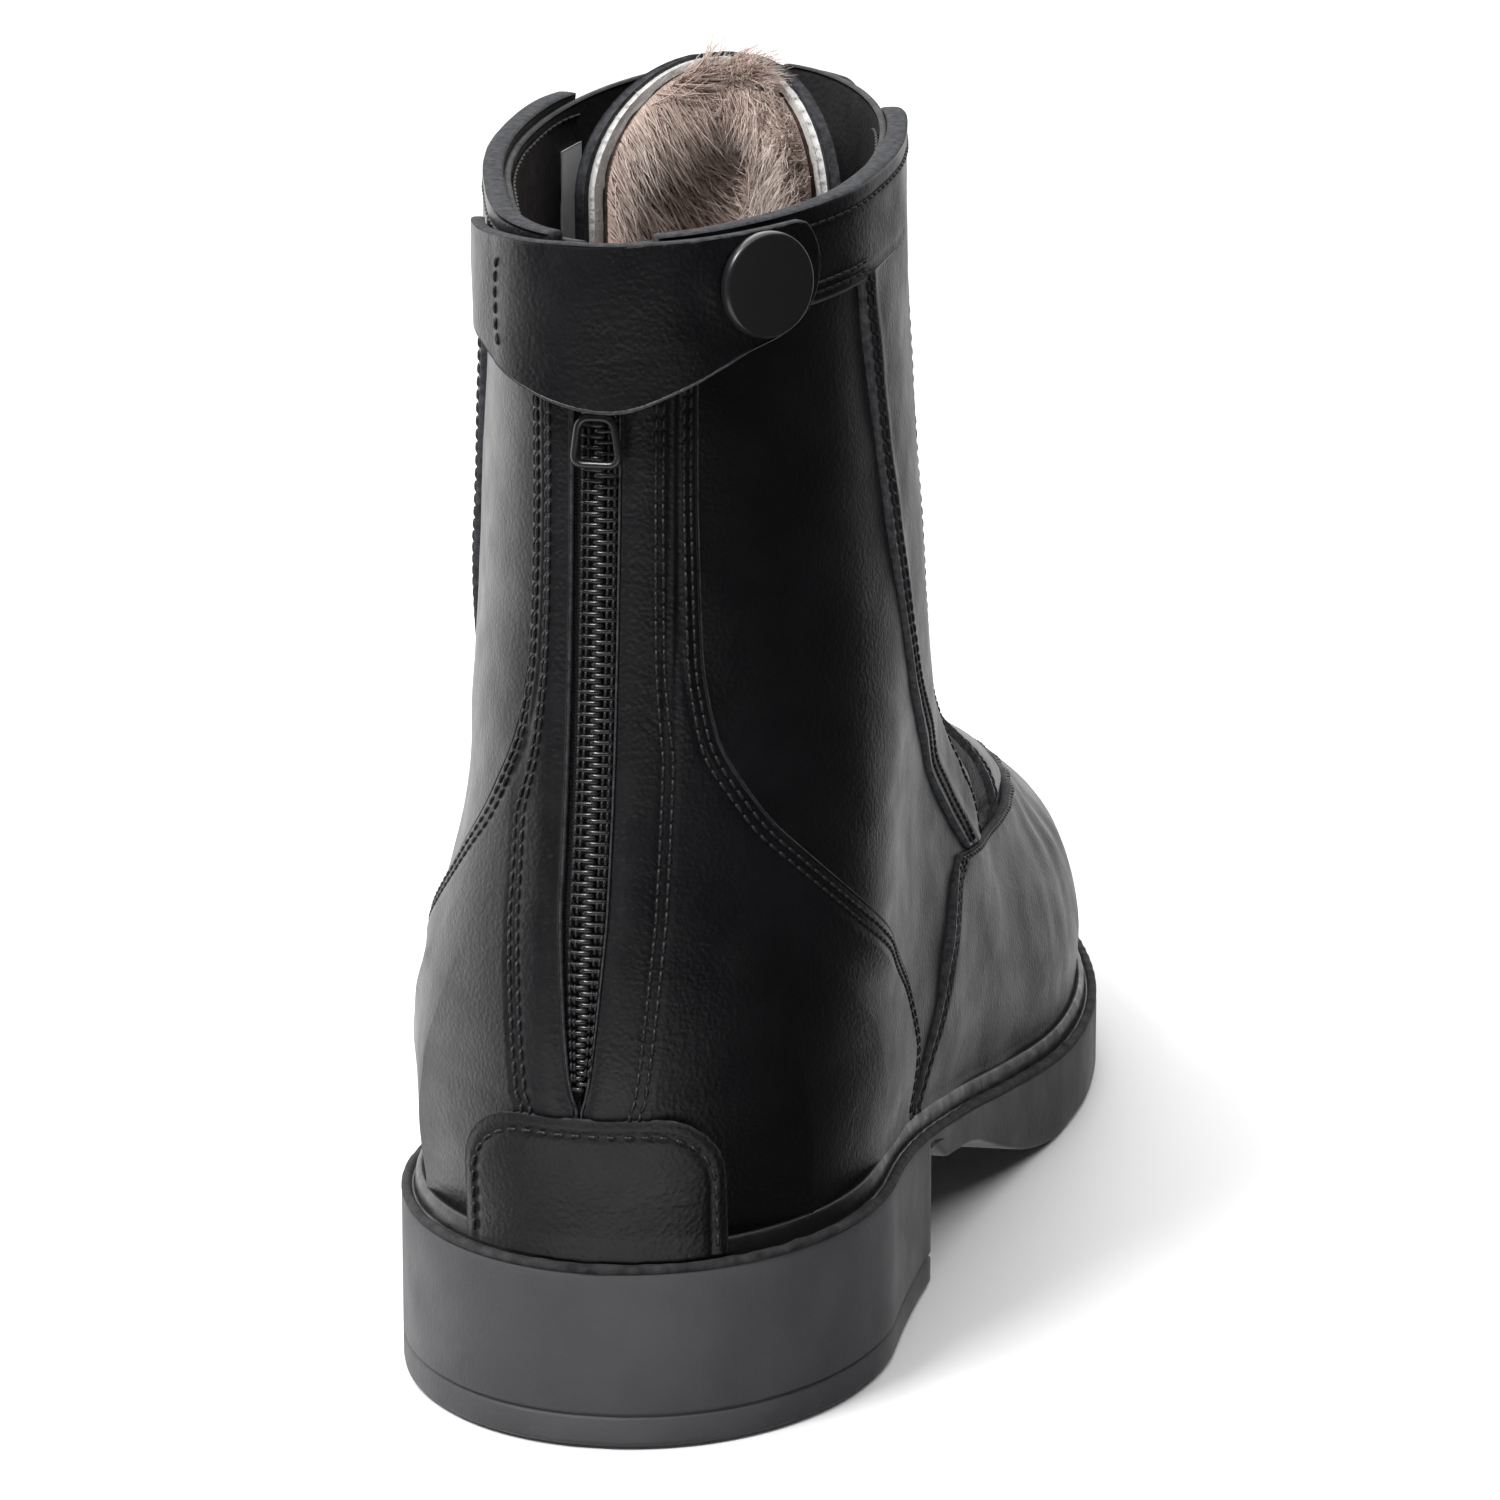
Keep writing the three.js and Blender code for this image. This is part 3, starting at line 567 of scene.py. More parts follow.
def black_leather():
    """Smooth black grain leather with a semi-gloss dressing and a faint blue-violet cast."""
    n = Nodes("black_leather", (0.0045, 0.0045, 0.006), 0.4, Specular_IOR_Level=0.42)
    n.set(Coat_Weight=0.06, Coat_Roughness=0.32)
    n.set(Sheen_Weight=0.03, Sheen_Roughness=0.4)
    tint = n.noise(55, 3)
    n.paint(tint, (0.3, (0.0018, 0.0018, 0.0028)), (0.7, (0.0038, 0.0036, 0.0052)))
    n.roughen(n.noise(140, 5), 0.3, 0.75, 0.36, 0.5)
    folds = n.noise(1.0, 6, 0.6, n.stretched((70, 70, 190), (0.5, 0.3, 0.2)), 1.2)
    grain = n.cells(1500, "SMOOTH_F1")
    pores = n.noise(1900, 3, 0.7)
    fine = n.bump(pores, 0.3, 0.0002)
    grained = n.bump(grain, 0.3, 0.0003, fine)
    n.dent(folds, 0.12, 0.0009, grained)
    return n.material


def raw_edge():
    """The cut edge of black leather: grey-black, fibrous and dull."""
    n = Nodes("raw_edge", (0.03, 0.031, 0.034), 0.85, Specular_IOR_Level=0.25)
    n.paint(n.noise(900, 5), (0.3, (0.020, 0.020, 0.023)), (0.75, (0.074, 0.076, 0.083)))
    n.dent(n.noise(2200, 6, 0.7), 0.6, 0.0005)
    return n.material


def thread():
    """Black bonded nylon thread, twisted; its colour is painted darker in the grooves between the plies and
    lighter on their crests, as painted shade and painted highlight.
    """
    n = Nodes("thread", (0.008, 0.008, 0.009), 0.5, Specular_IOR_Level=0.45)
    twist_height_and_shade = n.wave(900, "DIAGONAL")
    # painted shade and painted highlight: the colour follows the height of the plies, darker low and lighter
    # high
    n.paint(twist_height_and_shade, (0.2, (0.005, 0.005, 0.006)), (0.9, (0.014, 0.014, 0.016)))
    n.dent(twist_height_and_shade, 0.3, 0.0001)
    return n.material


def lining_leather():
    """Matt black lining leather."""
    n = Nodes("lining_leather", (0.014, 0.014, 0.015), 0.62, Specular_IOR_Level=0.35)
    n.paint(n.noise(70, 4), (0.3, (0.009, 0.009, 0.01)), (0.7, (0.02, 0.02, 0.021)))
    n.roughen(n.noise(300, 4), 0.3, 0.7, 0.54, 0.72)
    n.dent(n.cells(1300, "SMOOTH_F1"), 0.25, 0.0004, n.bump(n.noise(120, 4), 0.3, 0.0006))
    return n.material


def sole_rubber():
    """Charcoal moulded rubber with a fine pebbled texture, scuffed a little lighter in patches."""
    n = Nodes("sole_rubber", (0.025, 0.025, 0.027), 0.6, Specular_IOR_Level=0.42)
    patches = n.noise(28, 5, 0.6)
    n.paint(patches, (0.3, (0.042, 0.042, 0.046)), (0.75, (0.066, 0.065, 0.071)))
    n.roughen(n.noise(90, 5), 0.3, 0.75, 0.5, 0.7)
    pebble = n.bump(n.noise(1500, 4, 0.6), 0.35, 0.0003)
    n.dent(n.noise(160, 4, 0.6), 0.2, 0.0006, pebble)
    return n.material


def worn_rubber():
    """The sole's upper rim, trimmed by hand: rougher and greyer than its wall."""
    n = Nodes("worn_rubber", (0.03, 0.03, 0.031), 0.8, Specular_IOR_Level=0.35)
    n.paint(n.noise(420, 6, 0.65), (0.32, (0.008, 0.008, 0.009)), (0.72, (0.046, 0.046, 0.048)))
    n.dent(n.noise(1100, 6, 0.7), 0.7, 0.0006)
    return n.material


def welt_rubber():
    """The glossy black rand between sole and upper."""
    n = Nodes("welt_rubber", (0.007, 0.007, 0.008), 0.34, Specular_IOR_Level=0.5)
    n.roughen(n.noise(260, 5), 0.3, 0.75, 0.26, 0.5)
    n.dent(n.noise(420, 5, 0.6), 0.3, 0.0005)
    return n.material


def elastic():
    """Black elastic webbing: fine ribs of covered rubber."""
    n = Nodes("elastic", (0.011, 0.011, 0.012), 0.8, Specular_IOR_Level=0.3)
    n.set(Sheen_Weight=0.15, Sheen_Roughness=0.5)
    weave = n.cells(1800)
    n.paint(weave, (0.1, (0.016, 0.016, 0.018)), (0.7, (0.006, 0.006, 0.007)))
    n.dent(weave, 0.4, 0.0003)
    return n.material


def zip_tape():
    """Black woven zip tape; its colour is painted darker in the hollows of the weave and lighter where the
    threads cross over, as painted shade and painted highlight.
    """
    n = Nodes("zip_tape", (0.009, 0.009, 0.01), 0.75, Specular_IOR_Level=0.35)
    warp, weft = n.wave(640, "X"), n.wave(640, "Z")
    weave = n.maths("MULTIPLY", warp, weft)
    # painted shade: the colour follows the height of the weave, darker in its hollows
    n.paint(weave, (0.1, (0.005, 0.005, 0.006)), (0.8, (0.018, 0.018, 0.02)))
    n.dent(weave, 0.5, 0.0002)
    return n.material


def zip_nylon():
    """Black nylon monofilament."""
    n = Nodes("zip_nylon", (0.012, 0.012, 0.013), 0.24, Specular_IOR_Level=0.6)
    n.roughen(n.noise(900, 3), 0.3, 0.7, 0.18, 0.34)
    return n.material


def black_lacquer():
    """Satin black lacquer on metal."""
    n = Nodes("black_lacquer", (0.010, 0.010, 0.011), 0.33, Specular_IOR_Level=0.55)
    n.set(Coat_Weight=0.35, Coat_Roughness=0.22)
    n.roughen(n.noise(240, 5), 0.3, 0.75, 0.27, 0.42)
    n.dent(n.noise(1500, 3), 0.06, 0.0001)
    return n.material


def steel():
    """Plain stamped steel with fine scratches."""
    n = Nodes("steel", (0.45, 0.45, 0.46), 0.35, Metallic=1.0)
    n.roughen(n.noise(1.0, 4, 0.6, n.stretched((60, 900, 60))), 0.3, 0.7, 0.28, 0.5)
    return n.material


def fibre_board():
    """Grey-brown pressed board."""
    n = Nodes("fibre_board", (0.16, 0.115, 0.075), 0.9, Specular_IOR_Level=0.2)
    n.paint(n.noise(700, 5), (0.3, (0.11, 0.08, 0.05)), (0.7, (0.21, 0.155, 0.1)))
    n.dent(n.noise(1200, 4), 0.4, 0.0003)
    return n.material


def white_felt():
    """Off-white wool felt."""
    n = Nodes("white_felt", (0.78, 0.77, 0.75), 0.95, Specular_IOR_Level=0.15)
    n.set(Sheen_Weight=0.35, Sheen_Roughness=0.6)
    n.paint(n.noise(500, 6, 0.7), (0.3, (0.8, 0.79, 0.77)), (0.65, (0.95, 0.945, 0.93)))
    n.dent(n.noise(1500, 6, 0.7), 0.8, 0.0006)
    return n.material


def label_cloth():
    """Plain white satin ribbon."""
    n = Nodes("label_cloth", (0.75, 0.75, 0.76), 0.5, Specular_IOR_Level=0.4)
    n.paint(n.noise(300, 4), (0.3, (0.9, 0.9, 0.91)), (0.7, (0.97, 0.97, 0.97)))
    n.dent(n.wave(1400, "Z"), 0.25, 0.0001)
    return n.material


def fur_hair():
    """Taupe lambswool: each strand has its own tone, paler towards the tip."""
    n = Nodes("fur_hair", (0.3, 0.21, 0.17), 0.62, Specular_IOR_Level=0.35)
    n.set(Sheen_Weight=0.25, Sheen_Roughness=0.4)
    tone = n.attribute("tone")
    n.paint(
        tone,
        (0.0, (0.10, 0.062, 0.050)),
        (0.3, (0.36, 0.26, 0.22)),
        (0.65, (0.70, 0.55, 0.48)),
        (1.0, (0.96, 0.87, 0.80)),
    )
    return n.material


def fur_skin():
    """The woven back that the pile grows from."""
    n = Nodes("fur_skin", (0.07, 0.045, 0.036), 0.95, Specular_IOR_Level=0.1)
    n.paint(n.noise(600, 5), (0.3, (0.035, 0.022, 0.018)), (0.7, (0.11, 0.075, 0.06)))
    n.dent(n.noise(900, 5), 0.8, 0.001)
    return n.material


def fleece():
    """Pale fleece of the footbed."""
    n = Nodes("fleece", (0.5, 0.47, 0.43), 0.95, Specular_IOR_Level=0.15)
    n.set(Sheen_Weight=0.3)
    n.paint(n.noise(260, 6, 0.7), (0.3, (0.36, 0.33, 0.3)), (0.7, (0.6, 0.57, 0.53)))
    n.dent(n.cells(420, "SMOOTH_F1"), 0.9, 0.002)
    return n.material


def floor_paint():
    """Pale studio floor."""
    n = Nodes("floor_paint", (0.93, 0.93, 0.935), 0.55, Specular_IOR_Level=0.2)
    n.paint(n.noise(6, 3), (0.3, (0.92, 0.92, 0.925)), (0.7, (0.945, 0.945, 0.95)))
    return n.material


LEATHER_BLACK = black_leather()
EDGE = raw_edge()
THREAD = thread()
UPPER_LOOKS = [LEATHER_BLACK, EDGE, THREAD]
LINING = lining_leather()
RUBBER = sole_rubber()
WORN = worn_rubber()
RAND = welt_rubber()
ELASTIC = elastic()
TAPE = zip_tape()
NYLON = zip_nylon()
LACQUER = black_lacquer()
STEEL = steel()
BOARD = fibre_board()
FELT = white_felt()
LABEL = label_cloth()
HAIR = fur_hair()
SKIN = fur_skin()
FLEECE = fleece()

# ---- seams ----
COUNTER_SEAM = seam([
    (79, 28), (76, 40), (67, 52), (50, 63), (33, 74),
    (22, 86), (17.6, 98), (17, 110), (17.4, 134), (17.4, 171),
])
FACING_REAR = seam([
    (109, 63.5), (98, 72), (84, 83), (69, 93), (58, 107), (52, 121), (48, 140), (44, 159), (43, 178),
])
FACING_FRONT = seam([(126, 58), (119, 71), (109, 83), (97, 95), (88, 109), (83, 130), (84, 152), (91, 181)])
PANEL_SIDE = seam([
    (147, 53), (141, 66), (133, 76), (122, 88), (112, 103), (106, 120), (104, 145), (108, 183),
])
VAMP_REAR = seam([(80, 27), (84, 36), (93, 48), (103, 57), (110, 60)])
SLOT_SHIFT = -0.15  # how far the slot's middle lies from the zip's, as a share of its half width
COLLAR_LOW = level_at_side(44, 160)
TAB_TOP = level_at_side(128, 57)
FACING_LOW = TAB_TOP + 0.12
PATCH_TOP = float(level_at_height(0.0, 47.6))


def zip_across(up):
    """How far the zip's middle line lies to the lateral side at a height."""
    return mix(ZIP_LEAN["bottom"], ZIP_LEAN["top"], (up - ZIP_BOTTOM) / (ZIP_TOP - ZIP_BOTTOM))


def slot_half(up):
    """Half the width of the slot between the two counters, which closes to a point at its foot."""
    return 0.5 + (ZIP_OPENING - 0.5) * np.sqrt(np.clip((up - ZIP_BOTTOM) / 26, 0, 1))


def zip_edge(side):
    """The edge of one counter along the zip, as a function from level to a positive round."""

    def at(level):
        level = np.maximum(level, PATCH_TOP)
        up = through(TABLE[1], level)
        return side * round_at_across(zip_across(up) + (side + SLOT_SHIFT) * slot_half(up), level)

    fine = np.linspace(0, TOP, 221)
    values = at(fine)
    return lambda level: np.interp(level, fine, values)


def steady(around):
    """An edge that keeps to one round."""
    return lambda level: around + 0 * level


def between(from_edge, to_edge, low, high, side=1):
    """spots(s, t) of a panel between two edges that are functions of the level, on one side."""

    def spots(s, t):
        s, t = np.asarray(s, float), np.asarray(t, float)
        level = mix(low, high, t) + 0 * s
        share = s if side > 0 else 1 - s
        return side * mix(from_edge(level), to_edge(level), share), level

    return spots


INNER_ROWS = (6.3, 7.65)  # distances of the two inner stitch rows from the zip's edge
SEAM_ROWS = (1.35, 2.7)  # and of the two rows that hold an overlapping edge
HEM_ROW = 2.7  # the row along a top edge


def border_name(side, border):
    """The panel border nearer to the zip or farther from it on that side; others keep their names."""
    return {"near": ("left", "right"), "far": ("right", "left")}.get(border, (border, border))[side < 0]


def from_border(panel, side, border):
    return getattr(panel, border_name(side, border))


def sew(shape, panel, border, insets, side=1, **stitch):
    """Stitch rows at insets from a border of a panel."""
    border = border_name(side, border)
    line_at = panel.row if border in ("low", "high") else panel.column
    for inset in insets:
        stitch_row(shape, *line_at(border, inset), **stitch)


def uneven(panel, *waves):
    """The leather's own waves, each given as (size, amount, seed)."""
    return sum(swayed(panel.points, *wave) for wave in waves)


def build_panel(panel, name, node, rows=(), side=1, looks=None, slot="black_leather", **rim):
    """One piece from a panel, with stitch rows given as (border, insets)."""
    shape = Shape()
    panel.into(shape, **rim)
    for border, insets in rows:
        sew(shape, panel, border, insets, side)
    shape.build(name, looks or UPPER_LOOKS, "boot", [node])


def make_counter(side, name):
    def relief(p):
        near, far = from_border(p, side, "near"), from_border(p, side, "far")
        edge = -0.5 * bell(near, 0, 1.1) + 0.16 * bell(near, 3, 1.6) - 0.35 * bell(far, 0, 0.9)
        rows = grooves(near, INNER_ROWS) + grooves(far, SEAM_ROWS)
        return edge + rows + uneven(p, (24, 0.05, 3), (7, 0.025, 5))

    spots = between(zip_edge(side), COUNTER_SEAM, WELTED, COLLAR_LOW + 0.25, side)
    zone = (9.0, 4.5, 6.0) if side > 0 else (4.5, 9.0, 6.0)
    panel = Panel(spots, OUTER, zone=zone, relief=relief)
    rows = (("near", INNER_ROWS), ("far", SEAM_ROWS))
    build_panel(panel, f"counter_{name}_leather", f"counter_{name}", rows, side, bulge=0.35)


def make_quarter(side, name):
    def rear(level):
        return COUNTER_SEAM(level) - 0.015

    def front(level):
        under = mix(FACING_REAR(level), FACING_FRONT(level), 0.5)
        return mix(VAMP_REAR(level) + 0.035, under, ramp(level, TAB_TOP - 0.05, TAB_TOP + 0.05))

    def relief(p):
        return uneven(p, (30, 0.16, 11), (9, 0.035, 12))

    panel = Panel(between(rear, front, WELTED, TOP - 0.45, side), BASE_OUTER, inner=-0.9, relief=relief)
    build_panel(panel, f"quarter_{name}_leather", f"quarter_{name}")


def make_facing(side, name):
    """The collar and the facing, one piece in the shape of a hockey stick, made as two panels."""
    corner_fall = 0.07 if side > 0 else -0.01
    facing_waves = ((26, 0.12, 21), (8, 0.03, 22))
    start = abs(float(round_at_across(side * 7.0, TOP - 0.3)))
    rear, front = float(FACING_REAR(TOP)), float(FACING_FRONT(TOP))

    def collar_spots(s, t):
        s = np.asarray(s, float) if side > 0 else 1 - np.asarray(s, float)
        t = np.asarray(t, float)
        around = mix(start, FACING_FRONT(mix(COLLAR_LOW, TOP, t)), s)
        past = np.clip((around - rear) / (front - rear), 0, 1)
        high = TOP - corner_fall * past**2 - 0.05 * np.clip((past - 0.75) / 0.25, 0, 1) ** 2
        level = mix(COLLAR_LOW, high, t)
        return side * mix(start, FACING_FRONT(level), s), level

    def collar_relief(p):
        lower = np.where(from_border(p, side, "far") > 20, p.low, 30)
        rows = grooves(p.high, (HEM_ROW,)) + grooves(lower, SEAM_ROWS[:1], 0.15)
        return rows + uneven(p, *facing_waves)

    def stem_relief(p):
        near, far = from_border(p, side, "near"), from_border(p, side, "far")
        rows = grooves(near, SEAM_ROWS) + grooves(far, (2.25,))
        return rows + 0.35 * bell(near, 3, 1.6) - 0.35 * bell(far, 0, 1.4) + uneven(p, *facing_waves)

    shape = Shape()
    collar = Panel(collar_spots, OUTER, inner=COLLAR_INNER, zone=5.4, relief=collar_relief)
    collar.into(shape, bulge=0.35, rim_steps=7)
    stem_spots = between(FACING_REAR, FACING_FRONT, FACING_LOW, COLLAR_LOW + 0.02, side)
    stem = Panel(stem_spots, OUTER, relief=stem_relief)
    stem.into(shape, bulge=0.35)
    line, normals = collar.row("high", HEM_ROW)
    stitch_row(shape, line, normals)
    stitch_row(shape, line - normals * (OUTER - LINING_OUTER + 1.15), -normals)
    behind = np.abs(collar.spots[0][0]) < float(FACING_REAR(COLLAR_LOW)) + 0.01
    for inset in SEAM_ROWS:
        line, normals = collar.row("low", inset)
        stitch_row(shape, line[behind], normals[behind])
    sew(shape, stem, "near", SEAM_ROWS, side)
    sew(shape, stem, "far", (2.25,), side)
    sew(shape, collar, "far", (2.25,), side)
    shape.build(f"facing_{name}_leather", UPPER_LOOKS, "boot", [f"collar_facing_{name}"])


def make_gore(side, name):
    """Ribbed elastic: its ribs run up the boot."""
    rib_pitch = 1.35

    def rear(level):
        return mix(FACING_REAR(level), FACING_FRONT(level), 0.55)

    def front(level):
        return PANEL_SIDE(level) + 0.03

    def relief(p):
        return 0.24 * np.cos(2 * np.pi * from_border(p, side, "near") / rib_pitch) - 0.05

    spots = between(rear, front, TAB_TOP, TOP - 0.32, side)
    panel = Panel(spots, BASE_OUTER - 0.4, inner=-0.9, zone=1.2, fine=0.24, coarse=0.27, relief=relief)
    node = f"elastic_gore_{name}"
    build_panel(
        panel, f"gore_{name}_elastic", node, looks=[ELASTIC], slot="elastic_knit", edge_look=0, bulge=0.3
    )


def make_vamp():
    def relief(p):
        forward, up = p.points[..., 1], p.points[..., 2]
        rows = grooves(p.left, SEAM_ROWS) + grooves(p.right, SEAM_ROWS) + grooves(p.high, SEAM_ROWS)
        creases = 0.25 * bell(forward, 190, 26) * np.sin(forward / 2.1) * ramp(up, 25, 45)
        return rows + creases + uneven(p, (34, 0.2, 31), (9, 0.04, 32))

    def far_side(level):
        return 2 - VAMP_REAR(level)

    panel = Panel(between(VAMP_REAR, far_side, WELTED, TAB_TOP), OUTER, relief=relief)
    rows = (("left", SEAM_ROWS), ("right", SEAM_ROWS), ("high", SEAM_ROWS))
    build_panel(panel, "vamp_leather", "vamp", rows, bulge=0.4)


def make_front_panel():
    """The instep panel between the gores; its top corners are rounded."""

    def spots(s, t):
        s, t = np.asarray(s, float), np.asarray(t, float)
        corner = np.clip((np.abs(2 * s - 1) - 0.7) / 0.3, 0, 1)
        level = mix(TAB_TOP - 0.1, TOP - 0.15 - 0.28 * corner**2, t)
        lateral = PANEL_SIDE(level) - 0.045 * ramp(level, TOP - 1.6, TOP - 0.4)
        return mix(lateral, 2 - PANEL_SIDE(level), s), level

    def relief(p):
        under_vamp = -1.5 * (1 - ramp(p.low, 2, 5))
        rows = grooves(p.left, SEAM_ROWS) + grooves(p.right, SEAM_ROWS) + grooves(p.high, (HEM_ROW,))
        return under_vamp + rows + uneven(p, (30, 0.16, 41), (9, 0.035, 42))

    panel = Panel(spots, OUTER, inner=COLLAR_INNER, relief=relief)
    rows = (("left", SEAM_ROWS), ("right", SEAM_ROWS), ("high", (HEM_ROW,)))
    build_panel(panel, "front_panel_leather", "front_panel", rows, bulge=0.4, rim_steps=7)


def make_lining():
    """The lining of the whole boot; it lies deeper in the foot, clear of the stiffener and the toe puff."""

    def at(around, level):
        points, normals = surface(around, level)
        return points + normals * mix(-5.6, 0.0, ramp(level, 2.6, 4.4))[..., None], normals

    shape = Shape()
    for start, end, high, side in (
        (0.045, 0.93, TOP - 0.1, 1),
        (0.045, 0.93, TOP - 0.1, -1),
        (0.92, 1.08, 7.2, 1),
    ):
        spots = between(steady(start), steady(end), 0.25, high, side)
        panel = Panel(spots, LINING_OUTER, inner=LINING_OUTER - 1.1, at=at, coarse=2.6)
        panel.into(shape, edge_look=0, bulge=0.3)
    nodes = ["shaft_lining_lateral", "shaft_lining_medial", "vamp_lining"]
    shape.build("lining", [LINING], "boot", nodes)


def make_heel_patch():
    """The patch over the zip's lower end, stitched round its arched outline."""
    low, top, flat, half = 27.2, 47.6, 9.0, 17.1
    radius = half - flat
    straight = top - radius - low
    arc = np.pi / 2 * radius
    corners = np.cumsum([straight, arc, 2 * flat, arc])

    def outline(turn):
        """(across, up) of the outline: turn runs from one lower corner over the top to the other."""
        place = turn * (corners[3] + straight)
        parts = [place < corner for corner in corners]
        rising, falling = (place - corners[0]) / radius, (place - corners[2]) / radius
        x = [
            -half + 0 * place,
            -flat - radius * np.cos(rising),
            -flat + place - corners[1],
            flat + radius * np.sin(falling),
        ]
        z = [
            low + place,
            top - radius + radius * np.sin(rising),
            top + 0 * place,
            top - radius + radius * np.cos(falling),
        ]
        return np.select(parts, x, half), np.select(parts, z, top - radius - (place - corners[3]))

    def spots(s, t):
        s, t = arrays(s, t)
        x, z = outline(s)
        level = level_at_height(0 * x, mix(z, low, t))
        return round_at_across(-1 + x * mix(1.0, 0.35, t), level), level

    def relief(p):
        return grooves(p.low, (2.25,)) + 0.12 * bell(p.low, 1.2, 0.6) - 0.1

    panel = Panel(spots, OUTER + 1.15, inner=OUTER - 0.1, relief=relief, zone=4.5, coarse=1.2)
    shape = Shape()
    panel.into(shape, bulge=0.3)
    sew(shape, panel, "low", (2.25,), pitch=2.5, length=1.9)
    shape.build("heel_patch_leather", UPPER_LOOKS, "boot", ["heel_patch"])


# ---- snap strap ----
ANCHOR_FORWARD = 37.0
STRAP_TOP = np.array([169.6, 170, 170, 170.4, 171.6, 173, 173.4])
STRAP_LOW = np.array([154.6, 151.6, 148.2, 147, 150.4, 155, 157.5])
HINGE_ROUND = -float(round_at(HINGE_FORWARD, STRAP_LEVEL))
TIP_ROUND = float(round_at(STRAP_END, STRAP_LEVEL))
SEWN_ROUND = -float(round_at(19.2, STRAP_LEVEL))
ANCHOR_ROUND = -float(round_at(ANCHOR_FORWARD, STRAP_LEVEL))
SNAP_ROUND = float(round_at(21.6, STRAP_LEVEL))
SNAP_LEVEL = float(level_at_height(SNAP_ROUND, 163.8))


def strap_surface(around, level):
    """The last moved out to where the strap's inner face lies."""
    points, normals = surface(around, level)
    lift = SNAP_LIFT * ramp(around, 0.02, 0.14)
    drop = HINGE_DROP * (1 - ramp(around, HINGE_ROUND, -0.09))
    seat = 1.4 * (1 - ramp(around, ANCHOR_ROUND, HINGE_ROUND + 0.03))
    offset = STRAP_OFFSET + lift - drop - seat
    return points + normals * offset[..., None], normals


def make_strap():
    """The strap and the end that is sewn to the boot are one length of thick leather."""

    def spots(s, t):
        s, t = arrays(s, t)
        s = np.where(s > 0.9, 0.9 + 0.1 * np.sin((s - 0.9) / 0.1 * np.pi / 2), s)
        around = mix(ANCHOR_ROUND, TIP_ROUND, s)
        along = (around - HINGE_ROUND) / (TIP_ROUND - HINGE_ROUND)
        place = np.clip(along, 0, 1) * (len(STRAP_TOP) - 1)
        before = np.clip((HINGE_ROUND - around) / (HINGE_ROUND - ANCHOR_ROUND), 0, 1)
        top = through(STRAP_TOP, place) - 0.6 * before**2
        low = through(STRAP_LOW, place) + 2.2 * before
        tip = np.clip((along - 0.86) / 0.14, 0, 0.995)
        start = np.clip((before - 0.72) / 0.28, 0, 0.995)
        half = (top - low) / 2 * (1 - tip**2.6) ** 0.42 * (1 - start**2.4) ** 0.42
        return around, level_at_height(around, (top + low) / 2 + half * (2 * t - 1))

    def relief(p):
        sewn = -0.15 * bell(p.spots[0], SEWN_ROUND, 0.008)
        from_cap = np.linalg.norm(p.points - surface(SNAP_ROUND, SNAP_LEVEL)[0], axis=-1)
        return sewn - 0.3 * bell(from_cap, 10.5, 1.6) + uneven(p, (15, 0.13, 51), (5, 0.03, 52))

    panel = Panel(spots, STRAP_THICKNESS, inner=0.0, at=strap_surface, zone=3.0, coarse=1.1, relief=relief)
    shape = Shape()
    panel.into(shape, bulge=0.3, rim_steps=7)
    middle_row = panel.spots[0][len(panel.spots[0]) // 2]
    sewn_at = int(np.argmin(np.abs(middle_row - SEWN_ROUND)))
    line, normals = panel.face[:, sewn_at], panel.normals[:, sewn_at]
    inside = (panel.low[:, sewn_at] > 1.6) & (panel.high[:, sewn_at] > 1.6)
    stitch_row(shape, line[inside], normals[inside], pitch=2.2, length=2.0)
    nodes = ["snap_strap", "strap_anchor"]
    piece = shape.build("snap_strap_leather", UPPER_LOOKS, None, nodes)
    points, normals = strap_surface(np.array([HINGE_ROUND - 0.012, HINGE_ROUND + 0.035]), STRAP_LEVEL)
    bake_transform(piece)


def seat_on(around, level, offset):
    """Origin and axes (across, up, out) of a small fitting on the last."""
    points, normals = surface(around, level)
    above, _ = surface(around, level + 0.1)
    out = normals
    rise = above - points
    across = unit(np.cross(rise, out))
    return points + out * offset, across, np.cross(out, across), out


def seated(local, around, level, offset):
    """Points given as (across, up, out) of a fitting, as points on the last."""
    origin, across, up, out = seat_on(around, level, offset)
    local = np.asarray(local, float)
    return origin + local[..., :1] * across + local[..., 1:2] * up + local[..., 2:3] * out


def turned_profile(profile, steps=72):
    """Rings of a lathe: profile is (radius, height) points."""
    turn = np.arange(steps) * 2 * np.pi / steps
    profile = np.asarray(profile, float)
    x = profile[:, :1] * np.cos(turn)
    y = profile[:, :1] * np.sin(turn)
    z = np.repeat(profile[:, 1:], steps, 1)
    return np.stack([x, y, z], -1)


def make_snap_cap():
    """A pressed cap: flat rim, rounded shoulder, slightly domed face."""
    turns = np.linspace(0, math.pi / 2, 8)
    shoulder = [(6.75 + 0.65 * math.cos(a), 0.95 + 0.75 * math.sin(a)) for a in turns]
    dome = [(r, 1.7 + 0.42 * (1 - (r / 6.75) ** 2)) for r in np.linspace(6.5, 0.02, 14)]
    profile = [(0.02, 0.0), (6.9, 0.0), (7.3, 0.12), (7.4, 0.4)] + shoulder + dome
    offset = STRAP_OFFSET + SNAP_LIFT + STRAP_THICKNESS + 0.25
    rings = seated(turned_profile(profile), SNAP_ROUND, SNAP_LEVEL, offset)
    shape = Shape()
    add_tubes(shape, rings[None])
    shape.build("snap_cap_shell", [LACQUER], "strap", ["snap_cap"], merge=False)


